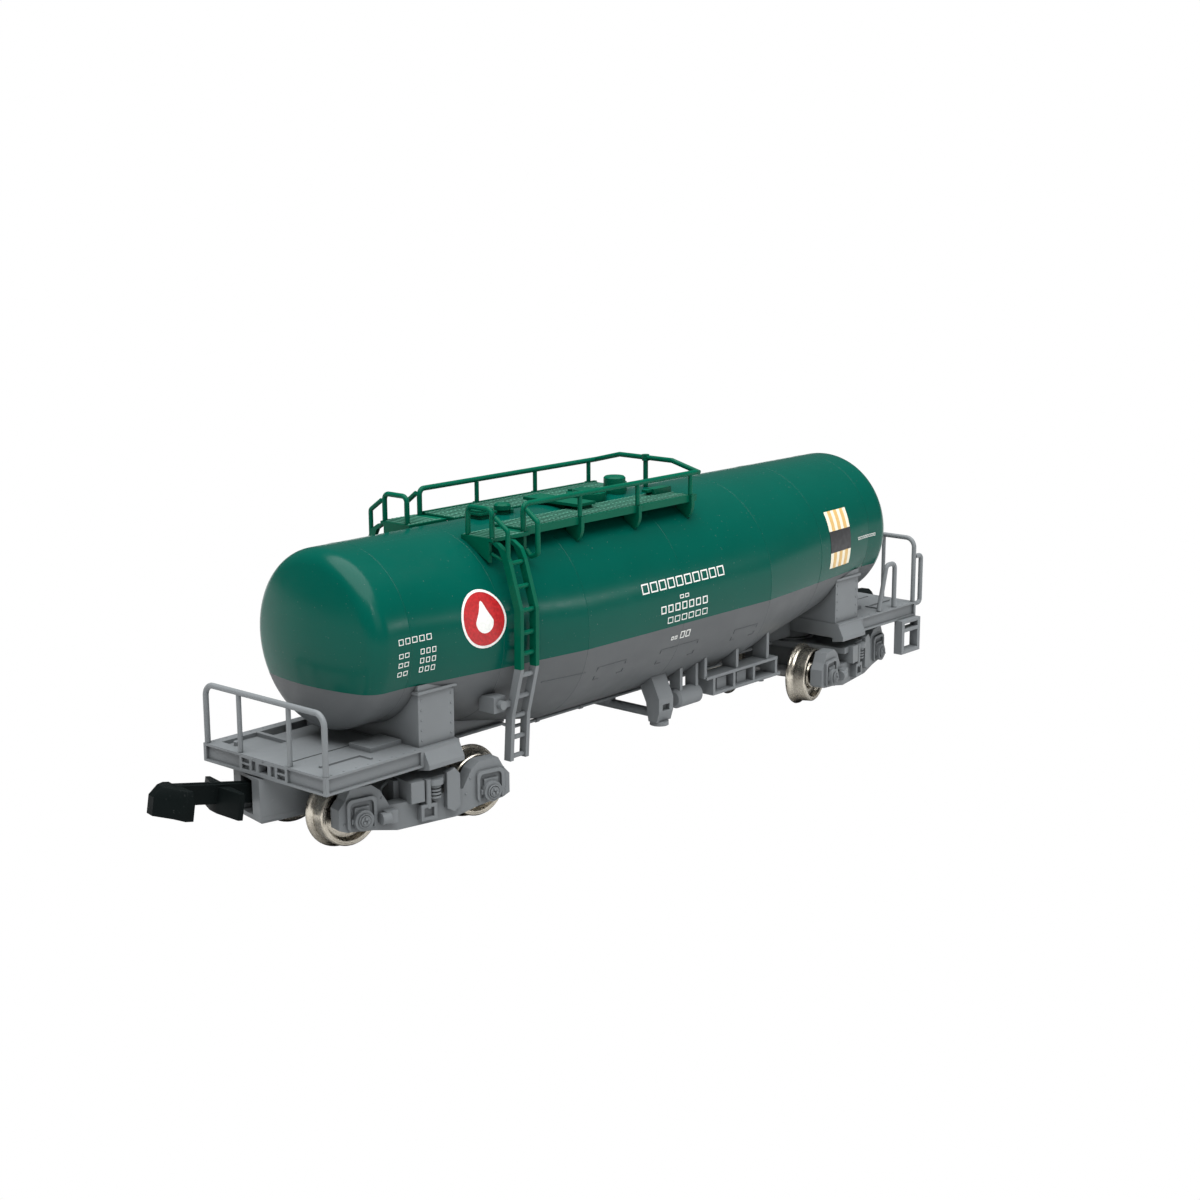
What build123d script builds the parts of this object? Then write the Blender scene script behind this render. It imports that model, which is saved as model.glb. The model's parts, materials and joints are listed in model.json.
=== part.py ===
from build123d import *
import math
import os

os.makedirs("parts", exist_ok=True)

# Tank wagon model in N gauge, 1:150. Millimetres. +X runs along the wagon, +Z is up and
# the ladders stand at the two sides, -Y and +Y. The origin lies under the middle of the
# wagon, in the plane that touches the bottoms of the wheel flanges. The bogies are drawn
# turned, as on a curve, with both couplers swung towards +Y.

# ---------------------------------------------------------------- driving dimensions
FLANGE_RADIUS = 3.2
TREAD_RADIUS = 2.8
RAIL_TOP = FLANGE_RADIUS - TREAD_RADIUS

TANK_TOP = RAIL_TOP + 24.2
TANK_MID_RADIUS = 9.53
TANK_END_RADIUS = 7.67
TANK_MID_X = 13.4          # the middle cylinder ends here
TANK_CONE_X = 33.0         # the tapered course ends here
TANK_HALF = 38.0
DOME_DEPTH = 2.76
KNUCKLE_RADIUS = 1.85
TANK_WALL = 0.9
TANK_SPLIT = RAIL_TOP + 13.0
TANK_FIT = 0.01            # air between the tank and what is cut to its shape

DECK_TOP = RAIL_TOP + 7.75
DECK_DEPTH = 1.55
DECK_PLATE = 0.7
DECK_HALF_WIDTH = 7.67
DECK_OUTER_X = 42.57
DECK_INNER_X = 27.8
FLANGE_LIP = 0.25          # how far the sill's flanges stand out from its web
FLANGE_PLATE = 0.2
SILL_WEB = 0.5
BOLSTER_OUTER_X = 31.9

BOGIE_X = 29.92
BOGIE_TURN = 11.2          # degrees away from straight
WHEELBASE = 12.66
FRAME_INNER_Y = 6.14
FRAME_OUTER_Y = 7.42
PIVOT_RADIUS = 0.9
PIVOT_PLATE_TOP = 5.7
BEARING_GAP = 0.05

AXLE_RADIUS = 0.6
AXLE_SHOULDER_Y = 5.9
AXLE_TIP_Y = 6.85
AXLE_TIP_RADIUS = 0.1
BUSH_RADIUS = 0.95
WHEEL_BACK_Y = 3.75
WHEEL_WIDTH = 2.0

POCKET_FRONT_X = 12.7
POCKET_BACK_X = 8.0
POCKET_HALF_WIDTH = 2.2
POCKET_TOP = 6.45
POCKET_FLOOR = 3.2
POCKET_WALL = 0.9
POCKET_BOSS_Z = 2.4
POCKET_BOSS_RADIUS = 0.8
COUPLER_PIVOT_X = 11.0
COUPLER_PIVOT_Z = 4.8
COUPLER_TILT = 9.0         # degrees, nose up

WALKWAY_LEFT_X = -18.1
WALKWAY_RIGHT_X = 5.4
WALKWAY_OUTER_Y = 6.45
WALKWAY_INNER_Y = 2.2
WALKWAY_RIM = 0.65
HANDRAIL_Z = RAIL_TOP + 26.27
HANDRAIL_BAR = 0.48
POST_BAR = 0.42             # upright posts are a little thinner than the rail they carry
POST_X = (-11.1, -3.2, 4.5)

LADDER_X = -21.5
LADDER_HALF_WIDTH = 1.15
STILE_DEPTH = 0.75
STILE_PLATE = 0.42
RUNG_BAR = 0.42

ENDS = {"left": -1, "right": 1}
SIDES = {"near": -1, "far": 1}


# ---------------------------------------------------------------- helpers
def finish(name, piece):
    """Label a finished piece and write it as its own STEP file."""
    piece.part.label = name
    export_step(piece.part, f"parts/{name}.step")


def block(x, y, z, mode=Mode.ADD):
    """Box between the two values given along each axis."""
    centre = tuple((low + high) / 2 for low, high in (x, y, z))
    size = tuple(abs(high - low) for low, high in (x, y, z))
    with Locations(centre):
        Box(*size, mode=mode)


def slab(outline, plane, amount, mode=Mode.ADD):
    """Flat piece with a straight-sided outline, extruded from its plane."""
    with BuildSketch(plane) as face:
        with BuildLine():
            Polyline(*outline, close=True)
        make_face()
    extrude(face.sketch, amount=amount, mode=mode)


def rod(start, end, radius, mode=Mode.ADD):
    """Round bar from one point to another."""
    axis = Vector(*end) - Vector(*start)
    with BuildSketch(Plane(origin=start, z_dir=axis)) as section:
        Circle(radius)
    extrude(section.sketch, amount=axis.length, mode=mode)


def bent_bar(points, diameter, corner):
    """Round bar through the points, with every corner bent to one radius."""
    with BuildLine() as path:
        FilletPolyline(*points, radius=corner)
    with BuildSketch(Plane(origin=path.line @ 0, z_dir=path.line % 0)) as section:
        Circle(diameter / 2)
    sweep(sections=section.sketch, path=path.line)


def ring_profile(points, axis):
    """Solid of revolution from a closed outline in the XY plane."""
    with BuildSketch(Plane.XY) as section:
        with BuildLine():
            Polyline(*points, close=True)
        make_face()
    revolve(section.sketch, axis=axis)


def tank_radius(x):
    """Outer radius of the tank at a distance x along the wagon."""
    share = (abs(x) - TANK_MID_X) / (TANK_CONE_X - TANK_MID_X)
    share = min(max(share, 0), 1)
    return TANK_MID_RADIUS + share * (TANK_END_RADIUS - TANK_MID_RADIUS)


def tank_surface(x, y):
    """Height of the tank's upper surface over a point of the plan."""
    radius = tank_radius(x)
    return TANK_TOP - radius + math.sqrt(radius ** 2 - y ** 2)


def tank_form(inset):
    """Closed form of the tank, every wall moved inwards by the inset."""
    dome_x = TANK_HALF - DOME_DEPTH
    end_z = TANK_TOP - TANK_END_RADIUS
    mid_z = TANK_TOP - TANK_MID_RADIUS
    end_radius = TANK_END_RADIUS - inset
    knuckle = KNUCKLE_RADIUS - inset
    # The crown's radius follows from the dome's depth and its knuckle.
    lever = TANK_END_RADIUS - KNUCKLE_RADIUS
    crown = (DOME_DEPTH ** 2 + lever ** 2 - KNUCKLE_RADIUS ** 2) / (2 * (DOME_DEPTH - KNUCKLE_RADIUS))
    crown_angle = math.degrees(math.asin(lever / (crown - KNUCKLE_RADIUS)))
    with BuildPart() as form:
        with BuildSketch(Plane((0, 0, mid_z), x_dir=(0, 1, 0), z_dir=(1, 0, 0))) as middle:
            Circle(TANK_MID_RADIUS - inset)
        extrude(middle.sketch, amount=TANK_MID_X)
        courses = []
        for x, radius, z in ((TANK_MID_X, TANK_MID_RADIUS, mid_z), (TANK_CONE_X, TANK_END_RADIUS, end_z)):
            with BuildSketch(Plane((x, 0, z), x_dir=(0, 1, 0), z_dir=(1, 0, 0))) as course:
                Circle(radius - inset)
            courses.append(course.sketch)
        loft(courses, ruled=True)
        with BuildSketch(Plane((TANK_CONE_X, 0, end_z), x_dir=(0, 1, 0), z_dir=(1, 0, 0))) as last:
            Circle(end_radius)
        extrude(last.sketch, amount=dome_x - TANK_CONE_X)
        with BuildSketch(Plane((dome_x, 0, end_z), x_dir=(1, 0, 0), z_dir=(0, -1, 0))) as dome:
            with BuildLine():
                rim = Line((0, 0), (0, end_radius))
                bend = JernArc(rim @ 1, (1, 0), knuckle, crown_angle - 90)
                cap = JernArc(bend @ 1, bend % 1, crown - inset, -crown_angle)
                Line(cap @ 1, (0, 0))
            make_face()
        revolve(dome.sketch, axis=Axis((dome_x, 0, end_z), (1, 0, 0)))
        mirror(about=Plane.YZ)
    return form.part


tank_outer = tank_form(0)
tank_inner = tank_form(TANK_WALL)
tank_clear = tank_form(-TANK_FIT)

# ---------------------------------------------------------------- tank shells and ballast
with BuildPart() as tank_upper_shell:
    add(tank_outer)
    add(tank_inner, mode=Mode.SUBTRACT)
    split(bisect_by=Plane.XY.offset(TANK_SPLIT), keep=Keep.TOP)
finish("tank_upper_shell", tank_upper_shell)

BALLAST_HALF_LENGTH = 21.0
BALLAST_HALF_WIDTH = 5.4
BALLAST_BOTTOM = 10.4
BALLAST_THICKNESS = 2.8
RIB_X = (-16.0, 16.0)
RIB_PLATE = 1.0

with BuildPart() as ballast_ribs:
    for x in RIB_X:
        block((x - RIB_PLATE / 2, x + RIB_PLATE / 2), (-10, 10), (0, BALLAST_BOTTOM))
    add(tank_form(TANK_WALL / 2), mode=Mode.INTERSECT)

with BuildPart() as tank_lower_shell:
    add(tank_outer)
    add(tank_inner, mode=Mode.SUBTRACT)
    split(bisect_by=Plane.XY.offset(TANK_SPLIT), keep=Keep.BOTTOM)
    add(ballast_ribs.part)
finish("tank_lower_shell", tank_lower_shell)

with BuildPart() as ballast_weight:
    block(
        (-BALLAST_HALF_LENGTH, BALLAST_HALF_LENGTH),
        (-BALLAST_HALF_WIDTH, BALLAST_HALF_WIDTH),
        (BALLAST_BOTTOM, BALLAST_BOTTOM + BALLAST_THICKNESS),
    )
    chamfer(ballast_weight.edges().filter_by(Axis.Z), length=1.0)
finish("ballast_weight", ballast_weight)

# ---------------------------------------------------------------- underframe
SADDLE_HALF_LENGTH = 2.05
SADDLE_HALF_WIDTH = 7.15
SADDLE_TOP = TANK_SPLIT
SADDLE_LIP = 0.2

with BuildPart() as saddle:
    block(
        (BOGIE_X - SADDLE_HALF_LENGTH, BOGIE_X + SADDLE_HALF_LENGTH),
        (-SADDLE_HALF_WIDTH, SADDLE_HALF_WIDTH),
        (DECK_TOP, SADDLE_TOP),
    )
    block(
        (BOGIE_X - SADDLE_HALF_LENGTH - SADDLE_LIP, BOGIE_X + SADDLE_HALF_LENGTH + SADDLE_LIP),
        (-SADDLE_HALF_WIDTH - SADDLE_LIP, SADDLE_HALF_WIDTH + SADDLE_LIP),
        (SADDLE_TOP - 0.75, SADDLE_TOP - 0.5),
    )
    add(tank_clear, mode=Mode.SUBTRACT)

DECK_BOTTOM = DECK_TOP - DECK_DEPTH
BOSS_RADIUS = 2.1
BOSS_BOTTOM = PIVOT_PLATE_TOP + BEARING_GAP
PIN_TOP = 8.0
WEDGE_OUTLINE = ((6.9, 7.4), (7.67, 7.9), (8.25, 6.8), (8.25, 6.4), (6.9, 6.15))
PANEL_HALF_WIDTH = 3.0
CORNER_WEB = 0.35
HEADSTOCK_WINDOWS = ((0.95, 1.45, 0.35, 1.2), (1.75, 2.7, 0.3, 0.7), (1.75, 2.7, 0.85, 1.25))

with BuildPart() as end_deck:
    block(
        (DECK_INNER_X, DECK_OUTER_X),
        (-DECK_HALF_WIDTH, DECK_HALF_WIDTH),
        (DECK_BOTTOM, DECK_TOP),
    )
    # hollow under the deck plate, outside the bolster
    block(
        (BOLSTER_OUTER_X, DECK_OUTER_X - FLANGE_LIP - SILL_WEB),
        (-DECK_HALF_WIDTH + FLANGE_LIP + SILL_WEB, DECK_HALF_WIDTH - FLANGE_LIP - SILL_WEB),
        (DECK_BOTTOM, DECK_TOP - DECK_PLATE),
        Mode.SUBTRACT,
    )
    # channel faces of the side sills and the headstock
    web_heights = (DECK_BOTTOM + FLANGE_PLATE, DECK_TOP - FLANGE_PLATE)
    for side in SIDES.values():
        block(
            (BOLSTER_OUTER_X + CORNER_WEB, DECK_OUTER_X - CORNER_WEB),
            (side * (DECK_HALF_WIDTH - FLANGE_LIP), side * DECK_HALF_WIDTH),
            web_heights,
            Mode.SUBTRACT,
        )
        block(
            (DECK_OUTER_X - FLANGE_LIP, DECK_OUTER_X),
            (side * PANEL_HALF_WIDTH, side * (DECK_HALF_WIDTH - CORNER_WEB)),
            web_heights,
            Mode.SUBTRACT,
        )
        # small windows beside the opening in the middle of the headstock
        for low, high, bottom, top in HEADSTOCK_WINDOWS:
            block(
                (DECK_OUTER_X - FLANGE_LIP, DECK_OUTER_X),
                (side * low, side * high),
                (DECK_BOTTOM + bottom, DECK_BOTTOM + top),
                Mode.SUBTRACT,
            )
        # gusseted end of the bolster
        with BuildSketch(Plane((DECK_INNER_X, 0, 0), x_dir=(0, 1, 0), z_dir=(1, 0, 0))) as wedge:
            with BuildLine():
                Polyline(*[(side * y, z) for y, z in WEDGE_OUTLINE], close=True)
            make_face()
        extrude(wedge.sketch, amount=BOLSTER_OUTER_X - DECK_INNER_X)
    block(
        (DECK_OUTER_X - FLANGE_LIP - SILL_WEB, DECK_OUTER_X),
        (-0.55, 0.55),
        (DECK_BOTTOM + 0.35, DECK_TOP - 0.45),
        Mode.SUBTRACT,
    )
    # sunk bays and open slot behind the far sill, with a cross member between the bays
    for low, high in ((BOLSTER_OUTER_X + 0.3, 37.3), (37.7, 41.4)):
        block((low, high), (2.6, 6.7), (DECK_TOP - 0.35, DECK_TOP), Mode.SUBTRACT)
    block((BOLSTER_OUTER_X + 0.3, 37.3), (5.9, 6.7), (DECK_BOTTOM, DECK_TOP), Mode.SUBTRACT)
    # groove beside the middle plate, a raised box and a low rim on the near side
    block((33.2, 41.4), (-2.3, -2.1), (DECK_TOP - 0.15, DECK_TOP), Mode.SUBTRACT)
    block((32.1, 35.6), (-5.2, -2.6), (DECK_TOP, DECK_TOP + 0.4))
    block((36.6, 41.0), (-5.3, -5.05), (DECK_TOP, DECK_TOP + 0.15))
    block((36.6, 36.85), (-6.6, -5.3), (DECK_TOP, DECK_TOP + 0.15))
    rod((41.2, 4.9, DECK_TOP - 0.4), (41.2, 4.9, DECK_TOP + 0.35), 0.3)
    # pivot boss with its hole for the king pin
    rod((BOGIE_X, 0, DECK_BOTTOM), (BOGIE_X, 0, BOSS_BOTTOM), BOSS_RADIUS)
    rod((BOGIE_X, 0, BOSS_BOTTOM), (BOGIE_X, 0, PIN_TOP), PIVOT_RADIUS, Mode.SUBTRACT)

for name, direction in ENDS.items():
    with BuildPart() as placed_saddle:
        if direction > 0:
            add(saddle.part)
        else:
            mirror(saddle.part, about=Plane.YZ)
    finish(f"saddle_{name}", placed_saddle)
    with BuildPart() as placed_deck:
        if direction > 0:
            add(end_deck.part)
        else:
            mirror(end_deck.part, about=Plane.YZ)
    finish(f"end_deck_{name}", placed_deck)

CENTRE_SILL_BOTTOM = 5.95
CENTRE_SILL_HALF_WIDTH = 1.45
CENTRE_SILL_INNER_X = 16.0

with BuildPart() as centre_sills:
    block(
        (CENTRE_SILL_INNER_X, DECK_INNER_X),
        (-CENTRE_SILL_HALF_WIDTH, CENTRE_SILL_HALF_WIDTH),
        (CENTRE_SILL_BOTTOM, DECK_TOP),
    )
    add(tank_clear, mode=Mode.SUBTRACT)
    mirror(about=Plane.YZ)
finish("centre_sills", centre_sills)

# ---------------------------------------------------------------- walkway and handrails
GRATING_TOP = TANK_TOP - 0.15
GRATING_PLATE = 0.35
RIM_PLATE = 0.35
RIM_BOTTOM = TANK_TOP - WALKWAY_RIM
GUSSET_PLATE = 0.4
GUSSET_FOOT_Z = RIM_BOTTOM - 1.55
GUSSET_FOOT_Y = 6.15
GUSSET_INNER_Y = 4.9
POST_PLATE = 0.3

RAIL_Y = WALKWAY_OUTER_Y - 0.05
RAIL_FOOT = TANK_TOP + 0.02
RAIL_BEND = 0.55
RAIL_RIGHT_X = WALKWAY_RIGHT_X - 0.1
RAIL_END_X = WALKWAY_RIGHT_X + 0.2
RAIL_CROWN_Y = 3.3
COLLAR_RADIUS = 0.36
RAIL_CROWN_Z = HANDRAIL_Z + 0.78

PLATFORM_TOP = TANK_TOP - 0.3
PLATFORM_PLATE = 0.3
PLATFORM_LEFT_X = -22.75
PLATFORM_RIGHT_X = WALKWAY_LEFT_X - 0.02
PLATFORM_OUTER_Y = 6.9
PLATFORM_INNER_Y = 3.2
PLATFORM_WEB = 0.35
PLATFORM_FOOT = PLATFORM_TOP + 0.02
END_POST_X = WALKWAY_LEFT_X - 0.3

HOOP_X = -22.45
HOOP_NEAR_Y = 3.75
HOOP_FAR_Y = 6.6
HOOP_Z = TANK_TOP + 2.15
HOOP_BAR = 0.46
GRIP_LINE = ((6.82, 26.25), (8.1, 25.3), (8.1, 22.55), (7.3, 22.2), (6.75, 22.75))
GRIP_BEND = 0.35


def walkway(side):
    """Grating with its rim and the curved brackets that carry it."""
    with BuildPart() as frame:
        block(
            (WALKWAY_LEFT_X, WALKWAY_RIGHT_X),
            (side * WALKWAY_OUTER_Y, side * WALKWAY_INNER_Y),
            (GRATING_TOP - GRATING_PLATE, GRATING_TOP),
        )
        block(
            (WALKWAY_LEFT_X, WALKWAY_RIGHT_X),
            (side * WALKWAY_OUTER_Y, side * (WALKWAY_OUTER_Y - RIM_PLATE)),
            (RIM_BOTTOM, TANK_TOP),
        )
        for x in POST_X:
            plane = Plane((x - GUSSET_PLATE / 2, 0, 0), x_dir=(0, 1, 0), z_dir=(1, 0, 0))
            with BuildSketch(plane) as bracket:
                with BuildLine():
                    outer = Line(
                        (side * (WALKWAY_OUTER_Y + POST_PLATE), TANK_TOP),
                        (side * (WALKWAY_OUTER_Y + POST_PLATE), RIM_BOTTOM),
                    )
                    curve = ThreePointArc(
                        outer @ 1,
                        (side * (WALKWAY_OUTER_Y + 0.22), (RIM_BOTTOM + GUSSET_FOOT_Z) / 2),
                        (side * GUSSET_FOOT_Y, GUSSET_FOOT_Z),
                    )
                    Polyline(
                        curve @ 1,
                        (side * GUSSET_INNER_Y, GUSSET_FOOT_Z),
                        (side * GUSSET_INNER_Y, RIM_BOTTOM),
                        (side * WALKWAY_OUTER_Y, RIM_BOTTOM),
                        (side * WALKWAY_OUTER_Y, TANK_TOP),
                        outer @ 0,
                    )
                make_face()
            extrude(bracket.sketch, amount=GUSSET_PLATE)
        add(tank_clear, mode=Mode.SUBTRACT)
    return frame


def side_handrail(side):
    """Long handrail over the rim of one walkway, its end post standing on the landing."""
    with BuildPart() as rail:
        bent_bar(
            (
                (END_POST_X, side * RAIL_Y, PLATFORM_FOOT),
                (END_POST_X, side * RAIL_Y, HANDRAIL_Z),
                (RAIL_RIGHT_X, side * RAIL_Y, HANDRAIL_Z),
            ),
            HANDRAIL_BAR,
            RAIL_BEND,
        )
        for x in POST_X:
            rod((x, side * RAIL_Y, RAIL_FOOT), (x, side * RAIL_Y, HANDRAIL_Z), POST_BAR / 2)
    return rail


def ladder_platform(side):
    """Landing at the head of one ladder, with a triangular web under each end."""
    under = PLATFORM_TOP - PLATFORM_PLATE
    with BuildPart() as landing:
        block(
            (PLATFORM_LEFT_X, PLATFORM_RIGHT_X),
            (side * PLATFORM_OUTER_Y, side * PLATFORM_INNER_Y),
            (under, PLATFORM_TOP),
        )
        for x in (PLATFORM_LEFT_X, PLATFORM_RIGHT_X - PLATFORM_WEB):
            slab(
                [(side * y, z) for y, z in ((3.3, under), (6.5, under), (6.5, 22.2))],
                Plane((x, 0, 0), x_dir=(0, 1, 0), z_dir=(1, 0, 0)),
                PLATFORM_WEB,
            )
        add(tank_clear, mode=Mode.SUBTRACT)
    return landing


def ladder_hoops(side):
    """Hand hoop on the landing's far edge and the bent grip on its outer edge."""
    with BuildPart() as hoops:
        bent_bar(
            (
                (HOOP_X, side * HOOP_NEAR_Y, PLATFORM_FOOT),
                (HOOP_X, side * HOOP_NEAR_Y, HOOP_Z),
                (HOOP_X, side * HOOP_FAR_Y, HOOP_Z),
                (HOOP_X, side * HOOP_FAR_Y, PLATFORM_FOOT),
            ),
            HOOP_BAR,
            RAIL_BEND,
        )
        bent_bar([(END_POST_X, side * y, z) for y, z in GRIP_LINE], HOOP_BAR, GRIP_BEND)
    return hoops


# ---------------------------------------------------------------- ladders
LADDER_JOINT = 2           # the two halves of a ladder meet at this point of the line
LADDER_LINE = (
    (8.6, 5.1), (8.85, 9.1), (9.95, TANK_SPLIT), (10.0, 18.5), (8.7, 22.6), (8.25, 23.45), (7.35, 23.98),
)
UPPER_RUNGS = (14.65, 16.45, 18.4, 20.35, 22.3)
LOWER_RUNGS = (5.4, 7.1, 9.0, 10.8, 12.75)
HAND_BAR_X = HOOP_X
HAND_BAR_LINE = ((7.0, 26.1), (8.45, 25.1), (8.45, 22.4))
STAY_LINE = ((6.57, 22.95), (8.2, 22.4))
STAY_BAR = 0.3


def ladder_front(z):
    """Distance of the ladder's front edge from the wagon's middle plane at a height."""
    for (y0, z0), (y1, z1) in zip(LADDER_LINE, LADDER_LINE[1:]):
        if z0 <= z <= z1:
            return y0 + (y1 - y0) * (z - z0) / (z1 - z0)
    return LADDER_LINE[-1][0]


def ladder(side, line, rungs):
    """Two flat stiles along a bent line, with round rungs between them."""
    outline = [(side * y, z) for y, z in line]
    outline += [(side * (y - STILE_DEPTH), z) for y, z in reversed(line)]
    with BuildPart() as steps:
        for x in (LADDER_X - LADDER_HALF_WIDTH, LADDER_X + LADDER_HALF_WIDTH - STILE_PLATE):
            slab(outline, Plane((x, 0, 0), x_dir=(0, 1, 0), z_dir=(1, 0, 0)), STILE_PLATE)
        for z in rungs:
            y = side * (ladder_front(z) - STILE_DEPTH / 2)
            inner = LADDER_HALF_WIDTH - STILE_PLATE / 2
            rod((LADDER_X - inner, y, z), (LADDER_X + inner, y, z), RUNG_BAR / 2)
    return steps


def ladder_head(side):
    """Upper half of one ladder with its raised hand bar and the stay that braces the bar."""
    with BuildPart() as head:
        add(ladder(side, LADDER_LINE[LADDER_JOINT:], UPPER_RUNGS).part)
        bent_bar([(HAND_BAR_X, side * y, z) for y, z in HAND_BAR_LINE], POST_BAR, GRIP_BEND)
        rod(*[(HAND_BAR_X, side * y, z) for y, z in STAY_LINE], STAY_BAR / 2)
    return head


CLIP_X = LADDER_X - LADDER_HALF_WIDTH - 0.9
CLIP_Z = 10.3


def ladder_clip(side):
    """Bracket and pin that hold the foot of one ladder off the tank."""
    with BuildPart() as clip:
        block((CLIP_X - 0.7, CLIP_X + 0.7), (side * 8.3, side * 6.5), (CLIP_Z - 0.7, CLIP_Z + 0.7))
        pin_end = LADDER_X - LADDER_HALF_WIDTH
        rod((CLIP_X, side * 8.3, CLIP_Z), (CLIP_X, side * 8.8, CLIP_Z), 0.4)
        block((CLIP_X, pin_end), (side * 8.75, side * 8.35), (CLIP_Z - 0.25, CLIP_Z + 0.25))
        add(tank_clear, mode=Mode.SUBTRACT)
    return clip


# ---------------------------------------------------------------- end rails and steps
RAIL_BAR = 0.5
DECK_FOOT = DECK_TOP + 0.02
END_RAILS = {"left": (13.2, 7.4, 3.1), "right": (15.15, 7.4, 3.5)}


def end_rail(direction, height, outer_y, inner_y):
    """Guard rail across one end of the wagon."""
    x = direction * (DECK_OUTER_X - RAIL_BAR / 2 - 0.02)
    with BuildPart() as rail:
        bent_bar(
            ((x, -outer_y, DECK_FOOT), (x, -outer_y, height), (x, outer_y, height), (x, outer_y, DECK_FOOT)),
            RAIL_BAR,
            1.0,
        )
        for y in (-inner_y, inner_y):
            rod((x, y, DECK_FOOT), (x, y, height), POST_BAR / 2)
    return rail


STEP_X = (38.9, 42.5)
STEP_PLATE = 0.5
STEP_DEPTH = 1.0
STEP_OUTER_Y = 8.35
STEP_BOTTOM = 2.9
TREAD_Z = 5.3


def corner_steps(side):
    """Two hanging side plates with a tread between them and one at the foot."""
    y_range = (side * STEP_OUTER_Y, side * (STEP_OUTER_Y - STEP_DEPTH))
    with BuildPart() as steps:
        block(STEP_X, y_range, (STEP_BOTTOM, DECK_BOTTOM))
        opening = (STEP_X[0] + STEP_PLATE, STEP_X[1] - STEP_PLATE)
        block(opening, y_range, (STEP_BOTTOM + 0.45, TREAD_Z), Mode.SUBTRACT)
        block(opening, y_range, (TREAD_Z + 0.4, DECK_BOTTOM - 0.35), Mode.SUBTRACT)
    return steps


SIDE_HOOP_Z = 13.0


def side_hoop(side):
    """Slanted hand hoop on the edge of the deck, above the steps."""
    y = side * (DECK_HALF_WIDTH - 0.3)
    with BuildPart() as hoop:
        line = ((35.7, DECK_FOOT), (37.0, SIDE_HOOP_Z), (38.6, SIDE_HOOP_Z), (38.6, DECK_FOOT))
        bent_bar([(x, y, z) for x, z in line], RAIL_BAR, 0.6)
    return hoop


def grab_loop(side):
    """Upright loop standing out from the headstock's corner."""
    y = side * (DECK_HALF_WIDTH - 0.3)
    x = DECK_OUTER_X + 0.01
    with BuildPart() as loop:
        bent_bar(((x, y, 13.15), (x + 1.2, y, 13.15), (x + 1.2, y, 7.85), (x, y, 7.85)), RAIL_BAR, 0.45)
    return loop


SIDE_PIECES = {
    "walkway": walkway,
    "handrail": side_handrail,
    "ladder_platform": ladder_platform,
    "ladder_hoops": ladder_hoops,
}
for side_name, side in SIDES.items():
    for piece_name, make_piece in SIDE_PIECES.items():
        finish(f"{piece_name}_{side_name}", make_piece(side))
    finish(f"ladder_upper_{side_name}", ladder_head(side))
    finish(f"ladder_lower_{side_name}", ladder(side, LADDER_LINE[:LADDER_JOINT + 1], LOWER_RUNGS))

PAIRED_PIECES = {
    "ladder_clips": ladder_clip,
    "corner_steps": corner_steps,
    "side_hoops": side_hoop,
    "grab_loops": grab_loop,
}
for piece_name, make_piece in PAIRED_PIECES.items():
    near_piece, far_piece = (make_piece(side) for side in SIDES.values())
    with BuildPart() as pair:
        add(near_piece.part)
        add(far_piece.part)
    finish(piece_name, pair)

for name, direction in ENDS.items():
    finish(f"end_rail_{name}", end_rail(direction, *END_RAILS[name]))

with BuildPart() as handrail_end:
    bent_bar(
        (
            (RAIL_END_X, -RAIL_Y - 0.2, HANDRAIL_Z - 0.05),
            (RAIL_END_X, -RAIL_CROWN_Y, RAIL_CROWN_Z),
            (RAIL_END_X, RAIL_CROWN_Y, RAIL_CROWN_Z),
            (RAIL_END_X, RAIL_Y + 0.2, HANDRAIL_Z - 0.05),
        ),
        HANDRAIL_BAR,
        RAIL_BEND,
    )
    rod((RAIL_END_X, 0, RAIL_FOOT), (RAIL_END_X, 0, RAIL_CROWN_Z), HANDRAIL_BAR / 2)
    rod((RAIL_END_X, 0, RAIL_CROWN_Z - 0.3), (RAIL_END_X, 0, RAIL_CROWN_Z + 0.3), COLLAR_RADIUS)
finish("handrail_end", handrail_end)

# ---------------------------------------------------------------- fittings on the tank's top
MANHOLE_X = -3.05
MANHOLE_RADIUS = 1.88
MANHOLE_TOP = TANK_TOP + 0.6
BOLT_CIRCLE = 1.55
BOLT_RADIUS = 0.22
BOLTS = 6
HINGE_X = MANHOLE_X + MANHOLE_RADIUS - 0.1

with BuildPart() as manhole_cover:
    rod((MANHOLE_X, 0, TANK_TOP - 0.6), (MANHOLE_X, 0, MANHOLE_TOP), MANHOLE_RADIUS)
    rod((MANHOLE_X, 0, MANHOLE_TOP), (MANHOLE_X, 0, MANHOLE_TOP + 0.22), 1.2)
    for bolt in range(BOLTS):
        angle = 2 * math.pi * bolt / BOLTS
        x = MANHOLE_X + BOLT_CIRCLE * math.cos(angle)
        y = BOLT_CIRCLE * math.sin(angle)
        rod((x, y, MANHOLE_TOP), (x, y, MANHOLE_TOP + 0.2), BOLT_RADIUS)
    block((HINGE_X, HINGE_X + 0.5), (-0.6, 0.6), (TANK_TOP - 0.3, MANHOLE_TOP + 0.1))
    add(tank_clear, mode=Mode.SUBTRACT)
finish("manhole_cover", manhole_cover)

VENT_X = 1.0
VENT_TOP = TANK_TOP + 1.6
with BuildPart() as vent_cap:
    rod((VENT_X, 0, TANK_TOP - 0.6), (VENT_X, 0, VENT_TOP), 1.05)
    chamfer(vent_cap.faces().sort_by(Axis.Z)[-1].edges(), length=0.15)
    rod((VENT_X + 1.45, 0.5, TANK_TOP - 0.6), (VENT_X + 1.45, 0.5, TANK_TOP + 0.85), 0.6)
    add(tank_clear, mode=Mode.SUBTRACT)
finish("vent_cap", vent_cap)

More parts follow.
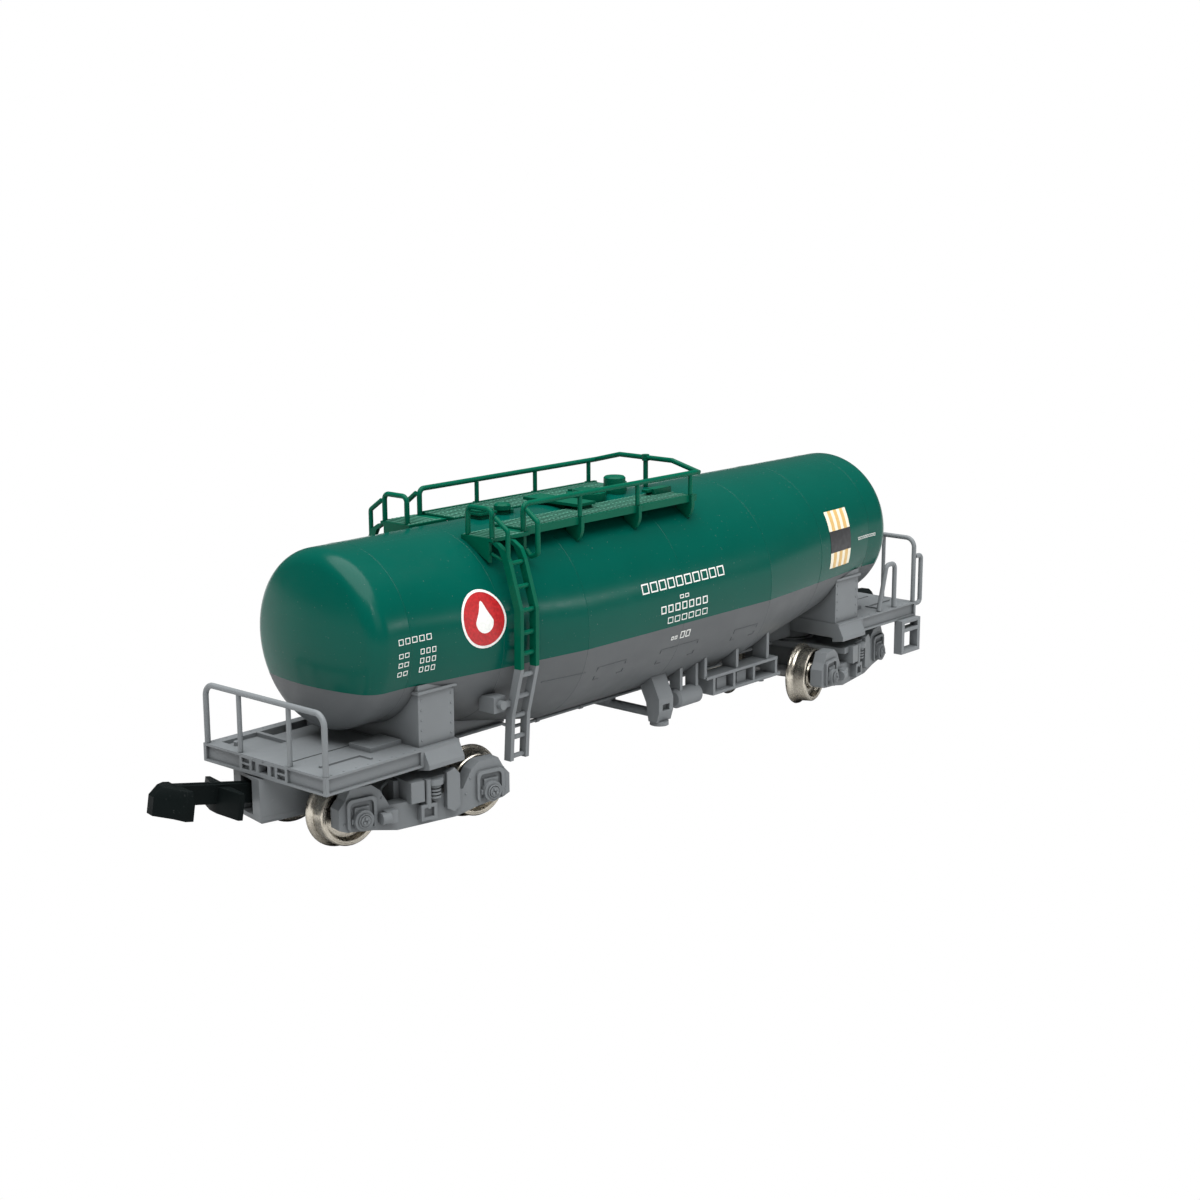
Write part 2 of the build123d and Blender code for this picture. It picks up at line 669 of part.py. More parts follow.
SAFETY_X = -14.35
with BuildPart() as safety_valve:
    rod((SAFETY_X, 0, TANK_TOP - 0.8), (SAFETY_X, 0, TANK_TOP + 0.4), 0.6)
    rod((SAFETY_X, 0, TANK_TOP + 0.4), (SAFETY_X, 0, TANK_TOP + 0.95), 0.78)
    chamfer(safety_valve.faces().sort_by(Axis.Z)[-1].edges(), length=0.15)
    rod((SAFETY_X + 0.9, 0, TANK_TOP - 0.6), (SAFETY_X + 0.9, 0, TANK_TOP + 0.3), 0.4)
    add(tank_clear, mode=Mode.SUBTRACT)
finish("safety_valve", safety_valve)

with BuildPart() as relief_valve:
    block((-17.9, -16.0), (-0.7, 0.7), (TANK_TOP - 0.8, TANK_TOP + 0.75))
    chamfer(relief_valve.edges().filter_by(Axis.Z), length=0.2)
    block((-18.05, -15.85), (-0.85, 0.85), (TANK_TOP + 0.35, TANK_TOP + 0.55))
    add(tank_clear, mode=Mode.SUBTRACT)
finish("relief_valve", relief_valve)

HATCH_X = (-8.6, -6.15)
HATCH_LID = (24.85, 25.12)
OVER_GRATING = GRATING_TOP + 0.01
with BuildPart() as sampling_hatch:
    block(HATCH_X, (-3.9, 2.9), HATCH_LID)
    block((HATCH_X[0] + 0.3, HATCH_X[1] - 0.3), (-2.0, 2.0), (TANK_TOP - 0.5, HATCH_LID[0]))
    for y_range in ((-3.7, -2.9), (2.2, 2.7)):
        block((HATCH_X[0] + 0.3, HATCH_X[1] - 0.3), y_range, (OVER_GRATING, HATCH_LID[0]))
    add(tank_clear, mode=Mode.SUBTRACT)
finish("sampling_hatch", sampling_hatch)

with BuildPart() as valve_box:
    block((2.5, 5.1), (-3.6, -2.6), (OVER_GRATING, 25.1))
    block((1.8, 2.5), (-3.4, -2.7), (24.8, 25.05))
finish("valve_box", valve_box)

# ---------------------------------------------------------------- discharge gear and brake gear
PIPE_X = -0.1
PIPE_Z = 4.2
PIPE_RADIUS = 0.45
OUTLET_Y = 6.6

with BuildPart() as discharge_pipe:
    rod((PIPE_X, -OUTLET_Y, PIPE_Z), (PIPE_X, OUTLET_Y, PIPE_Z), PIPE_RADIUS)
    rod((PIPE_X, 0, PIPE_Z), (PIPE_X, 0, 6.4), 0.8)
    add(tank_clear, mode=Mode.SUBTRACT)
finish("discharge_pipe", discharge_pipe)

with BuildPart() as discharge_outlets:
    for side in SIDES.values():
        plane = Plane((PIPE_X - 1.0, 0, 0), x_dir=(0, 1, 0), z_dir=(1, 0, 0))
        slab(
            (
                (side * 4.4, 8.0),
                (side * 6.3, 8.0),
                (side * 7.3, 5.9),
                (side * 7.3, 4.6),
                (side * 7.0, 3.6),
                (side * 6.0, 3.6),
                (side * 5.7, 5.4),
            ),
            plane,
            2.1,
        )
        block((PIPE_X - 0.45, PIPE_X + 0.55), (side * 6.9, side * 7.4), (4.7, 5.3), Mode.SUBTRACT)
        rod((PIPE_X, side * 6.5, 3.2), (PIPE_X, side * 6.5, 3.6), 0.9)
        rod((PIPE_X, side * 5.5, PIPE_Z), (PIPE_X, side * OUTLET_Y, PIPE_Z), PIPE_RADIUS, Mode.SUBTRACT)
    add(tank_clear, mode=Mode.SUBTRACT)
finish("discharge_outlets", discharge_outlets)

RACK_Y = (-7.1, -5.2)
with BuildPart() as equipment_rack:
    block((6.4, 17.9), RACK_Y, (6.25, 6.55))
    block((7.4, 18.4), RACK_Y, (4.55, 4.85))
    for x in (7.4, 10.6, 13.8, 17.5):
        block((x, x + 0.35), RACK_Y, (4.7, 6.4))
    for x in (8.6, 11.8):
        block((x, x + 1.5), (RACK_Y[0] + 0.5, RACK_Y[1]), (4.85, 6.0))
    for x in (6.2, 11.2, 16.2):
        block((x, x + 0.4), (RACK_Y[0] + 0.15, RACK_Y[1]), (6.4, 10.4))
    rod((16.1, -6.3, 4.2), (16.1, -6.3, 4.6), 0.35)
    add(tank_clear, mode=Mode.SUBTRACT)
finish("equipment_rack", equipment_rack)

with BuildPart() as air_reservoir:
    rod((2.6, -6.0, 5.0), (6.2, -6.0, 5.0), 0.95)
    chamfer(air_reservoir.edges().filter_by(GeomType.CIRCLE), length=0.25)
    for x in (3.0, 5.4):
        block((x, x + 0.4), (-6.5, -5.2), (5.3, 9.4))
    add(tank_clear, mode=Mode.SUBTRACT)
finish("air_reservoir", air_reservoir)

with BuildPart() as brake_cylinder:
    rod((4.0, 6.0, 5.0), (7.6, 6.0, 5.0), 1.1)
    rod((7.6, 6.0, 5.0), (11.5, 6.0, 5.0), 0.3)
    for x in (4.4, 6.8):
        block((x, x + 0.4), (5.2, 6.6), (5.3, 9.2))
    add(tank_clear, mode=Mode.SUBTRACT)
finish("brake_cylinder", brake_cylinder)

# ---------------------------------------------------------------- bogies
AXLE_Z = FLANGE_RADIUS
AXLE_X = WHEELBASE / 2
FRAME_OUTLINE = (
    (8.4, 2.6), (8.4, 4.3), (7.8, 4.95), (7.25, 5.9), (5.3, 5.9), (4.5, 5.3), (3.6, 3.8),
    (-3.6, 3.8), (-4.5, 5.3), (-5.3, 5.9), (-7.25, 5.9), (-7.8, 4.95), (-8.4, 4.3), (-8.4, 2.6),
    (-7.7, 2.3), (-5.2, 2.0), (-2.9, 1.53), (2.9, 1.53), (5.2, 2.0), (7.7, 2.3),
)
BOX_RADIUS = 0.88
ARCH_HALF = 1.4
AXLE_SLOPE = (AXLE_RADIUS - AXLE_TIP_RADIUS) / (AXLE_TIP_Y - AXLE_SHOULDER_Y)
CUP_END_Y = AXLE_TIP_Y + 0.08


def cup_radius(y):
    """Radius of the pointed bearing at a distance from the bogie's middle plane."""
    return AXLE_RADIUS - AXLE_SLOPE * (y - AXLE_SHOULDER_Y) + BEARING_GAP + 0.01


with BuildPart() as sideframe:
    frame_face = Plane((0, -FRAME_OUTER_Y, 0), x_dir=(1, 0, 0), z_dir=(0, -1, 0))
    slab(FRAME_OUTLINE, frame_face, FRAME_INNER_Y - FRAME_OUTER_Y)
    for x in (-AXLE_X, AXLE_X):
        # pedestal arch round the axlebox
        with BuildSketch(Plane((x, -FRAME_OUTER_Y, 0), x_dir=(1, 0, 0), z_dir=(0, -1, 0))) as arch:
            with Locations((0, 3.7)):
                RectangleRounded(2 * ARCH_HALF, 2.7, 0.5)
            with Locations((0, 3.4)):
                RectangleRounded(2 * ARCH_HALF - 0.6, 2.7, 0.4, mode=Mode.SUBTRACT)
            with Locations((0, 2.0)):
                Rectangle(4, 0.8, mode=Mode.SUBTRACT)
        extrude(arch.sketch, amount=0.25)
        block((x - 0.7, x + 0.7), (-FRAME_OUTER_Y - 0.25, -FRAME_OUTER_Y), (2.7, 4.3))
        rod((x, -FRAME_OUTER_Y, AXLE_Z), (x, -FRAME_OUTER_Y - 0.6, AXLE_Z), BOX_RADIUS)
        block((x - 1.05, x + 1.05), (-FRAME_OUTER_Y - 0.35, -FRAME_OUTER_Y), (AXLE_Z - 0.2, AXLE_Z + 0.2))
        rod((x, -FRAME_OUTER_Y - 0.6, AXLE_Z), (x, -FRAME_OUTER_Y - 0.8, AXLE_Z), 0.45)
        with BuildSketch(Plane((x, -FRAME_INNER_Y, AXLE_Z), x_dir=(1, 0, 0), z_dir=(0, -1, 0))) as cup_mouth:
            Circle(cup_radius(FRAME_INNER_Y))
        with BuildSketch(Plane((x, -CUP_END_Y, AXLE_Z), x_dir=(1, 0, 0), z_dir=(0, -1, 0))) as cup_end:
            Circle(cup_radius(CUP_END_Y))
        loft([cup_mouth.sketch, cup_end.sketch], ruled=True, mode=Mode.SUBTRACT)
    # brake cylinder casting beside one axlebox
    rod((-4.75, -7.9, 3.0), (-3.9, -7.9, 3.0), 0.5)
    block((-4.3, -3.2), (-8.1, -FRAME_OUTER_Y), (2.45, 3.55))
    # end of the bolster, spring with its seats, swing link and hanger
    block((-1.9, -0.6), (-8.1, -6.2), (3.7, 5.5))
    rod((0.65, -7.6, 3.8), (0.65, -7.6, 4.9), 0.38)
    for coil in range(4):
        height = 3.75 + 0.3 * coil
        rod((0.65, -7.6, height), (0.65, -7.6, height + 0.18), 0.58)
    rod((0.65, -7.6, 4.9), (0.65, -7.6, 5.4), 0.78)
    rod((-0.15, -7.9, 3.0), (-0.15, -7.9, 5.5), 0.26)
    block((-0.95, 0.6), (-8.1, -FRAME_OUTER_Y), (2.0, 3.4))
    block((-0.65, 0.3), (-8.1, -7.8), (2.3, 3.1), Mode.SUBTRACT)
    slab(
        ((1.7, 5.7), (2.5, 6.0), (3.0, 5.4), (3.0, 2.6), (2.4, 2.2), (1.7, 2.6)),
        frame_face,
        0.55,
    )

with BuildPart() as bogie_frame:
    with Locations(Location((0, 0, 0)), Location((0, 0, 0), (0, 0, 180))):
        add(sideframe.part)
    block((-2.4, 2.4), (-FRAME_INNER_Y, FRAME_INNER_Y), (2.6, 5.3))
    block((-1.9, 3.0), (-7.6, 7.6), (4.9, 5.5))
    rod((0, 0, 5.3), (0, 0, PIVOT_PLATE_TOP), 2.4)
    block((-POCKET_BACK_X - 0.1, -2.3), (-1.8, 1.8), (4.2, 5.3))
    block(
        (-POCKET_FRONT_X, -POCKET_BACK_X),
        (-POCKET_HALF_WIDTH, POCKET_HALF_WIDTH),
        (POCKET_FLOOR, POCKET_TOP),
    )
    # room for the coupler's tail and its spring, with a window for the shank
    for x_range, half_width in (
        ((-POCKET_FRONT_X + POCKET_WALL, -POCKET_BACK_X - 0.4), 1.7),
        ((-POCKET_FRONT_X, -POCKET_FRONT_X + POCKET_WALL), 0.95),
    ):
        block(x_range, (-half_width, half_width), (POCKET_FLOOR, POCKET_TOP - 0.3), Mode.SUBTRACT)
    rod((0, 0, 2.6), (0, 0, 4.0), 1.7, Mode.SUBTRACT)
    rod((0, 0, 4.0), (0, 0, PIVOT_PLATE_TOP), PIVOT_RADIUS + BEARING_GAP, Mode.SUBTRACT)

with BuildPart() as pocket_cover:
    block((-POCKET_FRONT_X, -POCKET_BACK_X), (-POCKET_HALF_WIDTH, POCKET_HALF_WIDTH), (2.6, POCKET_FLOOR))
    chamfer(pocket_cover.faces().sort_by(Axis.Z)[0].edges(), length=0.25)
    rod((-COUPLER_PIVOT_X, 0, POCKET_BOSS_Z), (-COUPLER_PIVOT_X, 0, POCKET_FLOOR), POCKET_BOSS_RADIUS)

with BuildPart() as king_pin:
    rod((0, 0, 3.1), (0, 0, 3.95), 1.5)
    rod((0, 0, 3.9), (0, 0, PIN_TOP), PIVOT_RADIUS)
    block((-1.6, 1.6), (-0.2, 0.2), (3.1, 3.4), Mode.SUBTRACT)

with BuildPart() as axle:
    ring_profile(
        (
            (0, -AXLE_TIP_Y), (AXLE_TIP_RADIUS, -AXLE_TIP_Y), (AXLE_RADIUS, -AXLE_SHOULDER_Y),
            (AXLE_RADIUS, AXLE_SHOULDER_Y), (AXLE_TIP_RADIUS, AXLE_TIP_Y), (0, AXLE_TIP_Y),
        ),
        Axis.Y,
    )

WHEEL_PROFILE = (
    (BUSH_RADIUS, 0.35), (1.3, 0.35), (1.5, 0.75), (2.1, 0.75), (2.3, 0.1), (3.0, 0.0),
    (FLANGE_RADIUS - 0.05, 0.12), (FLANGE_RADIUS, 0.25), (FLANGE_RADIUS - 0.05, 0.4), (2.92, 0.55),
    (2.83, 0.75), (TREAD_RADIUS - 0.06, WHEEL_WIDTH - 0.1), (2.65, WHEEL_WIDTH), (2.3, WHEEL_WIDTH),
    (2.1, 1.45), (1.5, 1.45), (1.3, 1.8), (BUSH_RADIUS, 1.8),
)

BUSH_PROFILE = ((AXLE_RADIUS, 0.2), (BUSH_RADIUS, 0.2), (BUSH_RADIUS, 1.95), (AXLE_RADIUS, 1.95))

with BuildPart() as wheels:
    for side in SIDES.values():
        ring_profile([(r, side * (WHEEL_BACK_Y + y)) for r, y in WHEEL_PROFILE], Axis.Y)

with BuildPart() as wheel_bushes:
    for side in SIDES.values():
        ring_profile(
            [(r, side * (WHEEL_BACK_Y + y)) for r, y in BUSH_PROFILE],
            Axis.Y,
        )

# ---------------------------------------------------------------- couplers
SHANK_HALF_WIDTH = 0.5
SHANK_HALF_HEIGHT = 0.97
SHANK_TOP = 0.67
SHANK_END = 8.3
TAIL_HALF_WIDTH = 1.3
TAIL_RADIUS = 0.4
SWIVEL_RADIUS = 0.6
HEAD_OUTLINE = (
    (8.2, -0.5), (8.2, -1.5), (9.0, -1.5), (10.1, -0.7), (10.1, 0.3), (8.9, 1.6), (8.3, 2.6), (7.6, 2.6),
    (7.8, 0.5),
)

with BuildPart() as coupler:
    # crossed round bars of the tail, one on each axis the coupler turns about
    rod((0, -TAIL_HALF_WIDTH, 0), (0, TAIL_HALF_WIDTH, 0), TAIL_RADIUS)
    rod((0, 0, -SHANK_HALF_HEIGHT), (0, 0, SHANK_HALF_HEIGHT), SWIVEL_RADIUS)
    block((0, SHANK_END), (-SHANK_HALF_WIDTH, SHANK_HALF_WIDTH), (-SHANK_HALF_HEIGHT, SHANK_TOP))
    # bumper across the shank
    block((3.5, 4.6), (-3.1, 3.1), (-1.75, 0.5))
    slab(HEAD_OUTLINE, Plane.XY.offset(-1.75), 2.4)

with BuildPart() as coupler_spring:
    with BuildLine() as coil_path:
        Helix(pitch=0.42, height=1.55, radius=0.75, direction=(1, 0, 0))
    with BuildSketch(Plane(origin=coil_path.line @ 0, z_dir=coil_path.line % 0)) as wire:
        Circle(0.12)
    sweep(sections=wire.sketch, path=coil_path.line, is_frenet=True)

# ---------------------------------------------------------------- both ends put together
for name, direction in ENDS.items():
    turn = -BOGIE_TURN if direction < 0 else 180 + BOGIE_TURN
    bogie_place = Location((direction * BOGIE_X, 0, 0), (0, 0, turn))
    coupler_place = (
        bogie_place
        * Location((-COUPLER_PIVOT_X, 0, COUPLER_PIVOT_Z), (0, 0, 180))
        * Location((0, 0, 0), (0, -COUPLER_TILT, 0))
    )
    spring_place = bogie_place * Location((-COUPLER_PIVOT_X + 0.72, 0, COUPLER_PIVOT_Z))
    pieces = {
        "king_pin": (king_pin, Location((direction * BOGIE_X, 0, 0))),
        "bogie_frame": (bogie_frame, bogie_place),
        "pocket_cover": (pocket_cover, bogie_place),
        "coupler": (coupler, coupler_place),
        "coupler_spring": (coupler_spring, spring_place),
    }
    for end_name, axle_x in (("outer", -AXLE_X), ("inner", AXLE_X)):
        axle_place = bogie_place * Location((axle_x, 0, AXLE_Z))
        pieces[f"axle_{end_name}"] = (axle, axle_place)
        pieces[f"wheels_{end_name}"] = (wheels, axle_place)
        pieces[f"bushes_{end_name}"] = (wheel_bushes, axle_place)
    for piece_name, (piece, place) in pieces.items():
        with BuildPart() as placed:
            with Locations(place):
                add(piece.part)
        finish(f"{piece_name}_{name}", placed)
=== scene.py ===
import json
import math

import bmesh
import bpy
from mathutils import Matrix, Vector


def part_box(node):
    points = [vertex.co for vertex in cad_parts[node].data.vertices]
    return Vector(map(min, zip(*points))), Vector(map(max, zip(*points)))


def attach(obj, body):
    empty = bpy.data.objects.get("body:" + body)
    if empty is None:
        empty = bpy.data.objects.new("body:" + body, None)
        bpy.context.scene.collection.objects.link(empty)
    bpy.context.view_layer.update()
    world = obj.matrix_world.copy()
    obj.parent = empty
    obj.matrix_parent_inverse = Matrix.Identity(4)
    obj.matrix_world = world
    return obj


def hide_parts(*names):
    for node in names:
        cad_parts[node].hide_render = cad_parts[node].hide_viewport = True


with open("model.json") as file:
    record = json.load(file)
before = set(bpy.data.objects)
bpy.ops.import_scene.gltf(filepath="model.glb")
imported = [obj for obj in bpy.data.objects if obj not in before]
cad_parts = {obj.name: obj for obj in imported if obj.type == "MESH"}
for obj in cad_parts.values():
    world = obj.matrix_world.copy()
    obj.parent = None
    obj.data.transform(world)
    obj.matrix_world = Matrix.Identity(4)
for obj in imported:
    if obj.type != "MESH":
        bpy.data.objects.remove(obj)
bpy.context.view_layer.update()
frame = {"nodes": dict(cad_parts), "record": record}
nodes = frame["nodes"]

# Sizes are in millimetres, in the frame of the CAD model, and become metres in make_piece.
MM = 0.001
SIDES = {"near": -1, "far": 1}
ENDS = {"left": -1, "right": 1}

TANK_TOP = 24.6
TANK_MID_RADIUS = 9.53
TANK_END_RADIUS = 7.67
TANK_MID_X = 13.4
TANK_CONE_X = 33.0
TANK_SPLIT = 13.4
DECK_TOP = 8.15
BOGIE_X = 29.92
BOGIE_TURN = 11.2
AXLE_X = 6.33
AXLE_Z = 3.2


# ---------------------------------------------------------------- mesh helpers
def add_ring(bm, points):
    """Adds a list of points and returns its vertices."""
    return [bm.verts.new(point) for point in points]


def bridge(bm, ring_a, ring_b, closed=True):
    """Quads between two rings with the same number of vertices."""
    count = len(ring_a)
    for i in range(count if closed else count - 1):
        j = (i + 1) % count
        bm.faces.new((ring_a[i], ring_a[j], ring_b[j], ring_b[i]))


def add_box(bm, x, y, z, place=Matrix()):
    """Box between two values on each axis."""
    corners = [(x[i], y[j], z[k]) for k in (0, 1) for i, j in ((0, 0), (1, 0), (1, 1), (0, 1))]
    verts = add_ring(bm, [place @ Vector(corner) for corner in corners])
    bm.faces.new(verts[:4])
    bm.faces.new(verts[4:])
    bridge(bm, verts[:4], verts[4:])


def add_prism(bm, outline, height, place=Matrix()):
    """Prism on an outline in the place's XY plane."""
    low = add_ring(bm, [place @ Vector((x, y, 0)) for x, y in outline])
    high = add_ring(bm, [place @ Vector((x, y, height)) for x, y in outline])
    bm.faces.new(low)
    bm.faces.new(high)
    bridge(bm, low, high)


def add_lathe(bm, profile, place=Matrix(), segments=32):
    """Solid turned about the place's Z axis, from (radius, height) points that start and end on a flat."""
    turn = [2 * math.pi * i / segments for i in range(segments)]
    rings = []
    for radius, height in profile:
        points = [Vector((radius * math.cos(a), radius * math.sin(a), height)) for a in turn]
        rings.append(add_ring(bm, [place @ point for point in points]))
    for ring_a, ring_b in zip(rings, rings[1:]):
        bridge(bm, ring_a, ring_b)
    bm.faces.new(rings[0])
    bm.faces.new(rings[-1])


def add_tube(bm, path, radius, sides=10, closed=False):
    """Round bar along a path of points."""
    points = [Vector(point) for point in path]
    count = len(points)
    rings = []
    side_hint = None
    for i, point in enumerate(points):
        ahead = points[(i + 1) % count] if closed or i + 1 < count else point
        behind = points[i - 1] if closed or i > 0 else point
        along = (ahead - behind).normalized()
        if side_hint is None:
            side_hint = along.orthogonal()
        side = (side_hint - along * side_hint.dot(along)).normalized()
        side_hint = side
        other = along.cross(side)
        turn = [2 * math.pi * k / sides for k in range(sides)]
        spokes = [math.cos(a) * side + math.sin(a) * other for a in turn]
        rings.append(add_ring(bm, [point + radius * spoke for spoke in spokes]))
    for ring_a, ring_b in zip(rings, rings[1:]):
        bridge(bm, ring_a, ring_b)
    if closed:
        bridge(bm, rings[-1], rings[0])
    else:
        bm.faces.new(rings[0])
        bm.faces.new(rings[-1])


def pointing(origin, direction, turn=0.0):
    """Placement with its Z axis along a direction."""
    rotation = Vector(direction).to_track_quat("Z", "Y").to_matrix().to_4x4()
    return Matrix.Translation(origin) @ rotation @ Matrix.Rotation(turn, 4, "Z")


def face_outwards(bm):
    """Turns the faces of a print away from the tank's middle line."""
    for face in bm.faces:
        middle = face.calc_center_median()
        outwards = Vector((0, middle.y, middle.z - TANK_TOP + TANK_MID_RADIUS))
        if face.normal.dot(outwards) < 0:
            face.normal_flip()


def make_piece(name, bm, material, body, bevel=0.0, thickness=0.0, smooth=35.0):
    """Turns a mesh in millimetres into a piece that rides on a body; one with a thickness is a print."""
    bmesh.ops.recalc_face_normals(bm, faces=bm.faces)
    if thickness:
        face_outwards(bm)
    for face in bm.faces:
        face.smooth = True
    for edge in bm.edges:
        edge.smooth = len(edge.link_faces) == 2 and edge.calc_face_angle(0.0) < math.radians(smooth)
    bmesh.ops.scale(bm, vec=(MM, MM, MM), verts=bm.verts)
    mesh = bpy.data.meshes.new(name)
    bm.to_mesh(mesh)
    bm.free()
    mesh.materials.append(material)
    piece = bpy.data.objects.new(name, mesh)
    bpy.context.scene.collection.objects.link(piece)
    if thickness:
        solid = piece.modifiers.new("thickness", "SOLIDIFY")
        solid.thickness = thickness * MM
        solid.offset = 1.0
    if bevel:
        rounding = piece.modifiers.new("bevel", "BEVEL")
        rounding.width = bevel * MM
        rounding.segments = 2
        rounding.limit_method = "ANGLE"
    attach(piece, body)
    return piece


def bogie_place(direction):
    """Placement of one bogie: its -X side carries the coupler."""
    turn = math.radians(-BOGIE_TURN if direction < 0 else 180 + BOGIE_TURN)
    return Matrix.Translation((direction * BOGIE_X, 0, 0)) @ Matrix.Rotation(turn, 4, "Z")


# ---------------------------------------------------------------- the tank's surface
def tank_radius(x):
    share = (abs(x) - TANK_MID_X) / (TANK_CONE_X - TANK_MID_X)
    return TANK_MID_RADIUS + min(max(share, 0), 1) * (TANK_END_RADIUS - TANK_MID_RADIUS)


def tank_point(x, angle, lift=0.0):
    """Point on the tank, with the angle in radians up from level on the +Y side."""
    radius = tank_radius(x)
    reach = radius + lift
    return Vector((x, reach * math.cos(angle), TANK_TOP - radius + reach * math.sin(angle)))


def side_point(side, x, z, lift=0.0):
    """Point on one flank of the tank at a height."""
    radius = tank_radius(x)
    angle = math.asin((z - TANK_TOP + radius) / radius)
    point = tank_point(x, angle, lift)
    return Vector((point.x, side * point.y, point.z))


def add_patch(bm, side, x, z, lift=0.0, step=0.6):
    """Four-sided patch on a flank, as a grid that follows the tank."""
    across = max(1, round((x[1] - x[0]) / step))
    up = max(1, round((z[1] - z[0]) / step))
    rows = []
    for j in range(up + 1):
        height = z[0] + (z[1] - z[0]) * j / up
        rows.append(add_ring(bm, [
            side_point(side, x[0] + (x[1] - x[0]) * i / across, height, lift) for i in range(across + 1)
        ]))
    for row_a, row_b in zip(rows, rows[1:]):
        bridge(bm, row_a, row_b, closed=False)


def add_disc(bm, side, centre, outline, lift=0.0, rings=6):
    """Star-shaped patch on a flank: outline gives (x, z) offsets from the centre."""
    x0, z0 = centre
    middle = bm.verts.new(side_point(side, x0, z0, lift))
    last = None
    for k in range(1, rings + 1):
        share = k / rings
        ring = add_ring(bm, [side_point(side, x0 + share * x, z0 + share * z, lift) for x, z in outline])
        if last is None:
            for i in range(len(ring)):
                bm.faces.new((middle, ring[i], ring[(i + 1) % len(ring)]))
        else:
            bridge(bm, last, ring)
        last = ring


# ---------------------------------------------------------------- materials
def new_material(name):
    material = bpy.data.materials.new(name)
    material.use_nodes = True
    return material, material.node_tree, material.node_tree.nodes["Principled BSDF"]


def add_node(tree, kind, values=None, **properties):
    """Adds a shader node, with its properties and the values of its inputs."""
    node = tree.nodes.new(kind)
    for key, value in properties.items():
        setattr(node, key, value)
    for key, value in (values or {}).items():
        node.inputs[key].default_value = value
    return node


def noise(tree, coords, feature, detail=2.0):
    """Noise whose features are about this many millimetres across."""
    node = add_node(tree, "ShaderNodeTexNoise", {"Scale": 1 / (feature * MM), "Detail": detail})
    tree.links.new(coords, node.inputs["Vector"])
    return node.outputs["Fac"]


def spread(tree, value, low, high, out_low=0.0, out_high=1.0):
    """Maps low..high of a value to another range, and clamps it."""
    node = add_node(tree, "ShaderNodeMapRange", {1: low, 2: high, 3: out_low, 4: out_high})
    tree.links.new(value, node.inputs[0])
    return node.outputs[0]


def blend_colors(tree, share, color_a, color_b):
    """Mixes two colours, each a tuple or a socket, by a value."""
    node = add_node(tree, "ShaderNodeMix", data_type="RGBA")
    tree.links.new(share, node.inputs[0])
    for index, color in ((6, color_a), (7, color_b)):
        if isinstance(color, tuple):
            node.inputs[index].default_value = (*color, 1)
        else:
            tree.links.new(color, node.inputs[index])
    return node.outputs[2]


def scaled(color, factor):
    return tuple(channel * factor for channel in color)


NOISE_RANGE = (0.3, 0.7)    # most values of a noise lie between these


def moulded(name, color, rough, mottle, dust, edge, grain, specular):
    """Moulded or painted plastic: cloudy colour, painted shade that darkens its hollows, fine grain, soft
    edges and dust.
    """
    material, tree, shader = new_material(name)
    coords = add_node(tree, "ShaderNodeTexCoord").outputs["Object"]
    cloud = spread(tree, noise(tree, coords, 6.0, 4.0), *NOISE_RANGE)
    tint = blend_colors(tree, cloud, scaled(color, 1 - mottle), scaled(color, 1 + mottle))
    # painted shade: ambient occlusion darkens the colour towards 0.62 of itself in hollows and between parts
    painted_hollow_shade = add_node(tree, "ShaderNodeAmbientOcclusion", {"Distance": 0.8 * MM}, samples=6)
    tint = blend_colors(tree, spread(tree, painted_hollow_shade.outputs["AO"], 0.35, 0.95), scaled(color, 0.62), tint)
    if dust:
        flecks = spread(tree, noise(tree, coords, 0.22, 1.0), 0.75, 0.78, 0.0, dust)
        pale = tuple(0.35 + 0.5 * channel for channel in color)
        tint = blend_colors(tree, flecks, tint, pale)
    tree.links.new(tint, shader.inputs["Base Color"])
    sheen = spread(tree, noise(tree, coords, 1.6, 3.0), *NOISE_RANGE, *rough)
    tree.links.new(sheen, shader.inputs["Roughness"])
    shader.inputs["Specular IOR Level"].default_value = specular
    rounding = add_node(tree, "ShaderNodeBevel", {"Radius": edge * MM}, samples=4)
    bump = add_node(tree, "ShaderNodeBump", {"Strength": grain, "Distance": 0.012 * MM})
    tree.links.new(noise(tree, coords, 0.13, 2.0), bump.inputs["Height"])
    tree.links.new(rounding.outputs["Normal"], bump.inputs["Normal"])
    tree.links.new(bump.outputs["Normal"], shader.inputs["Normal"])
    return material


def printed(name, color, rough=0.45, speckle=0.12):
    """Pad-printed ink, a little uneven, with pinholes."""
    material, tree, shader = new_material(name)
    coords = add_node(tree, "ShaderNodeTexCoord").outputs["Object"]
    pinholes = spread(tree, noise(tree, coords, 0.22, 3.0), 0.35, 0.68)
    tint = blend_colors(tree, pinholes, scaled(color, 1 - speckle), color)
    tree.links.new(tint, shader.inputs["Base Color"])
    sheen = spread(tree, noise(tree, coords, 0.5, 2.0), *NOISE_RANGE, rough - 0.08, rough + 0.08)
    tree.links.new(sheen, shader.inputs["Roughness"])
    bump = add_node(tree, "ShaderNodeBump", {"Strength": 0.3, "Distance": 0.006 * MM})
    tree.links.new(noise(tree, coords, 0.1, 2.0), bump.inputs["Height"])
    tree.links.new(bump.outputs["Normal"], shader.inputs["Normal"])
    return material


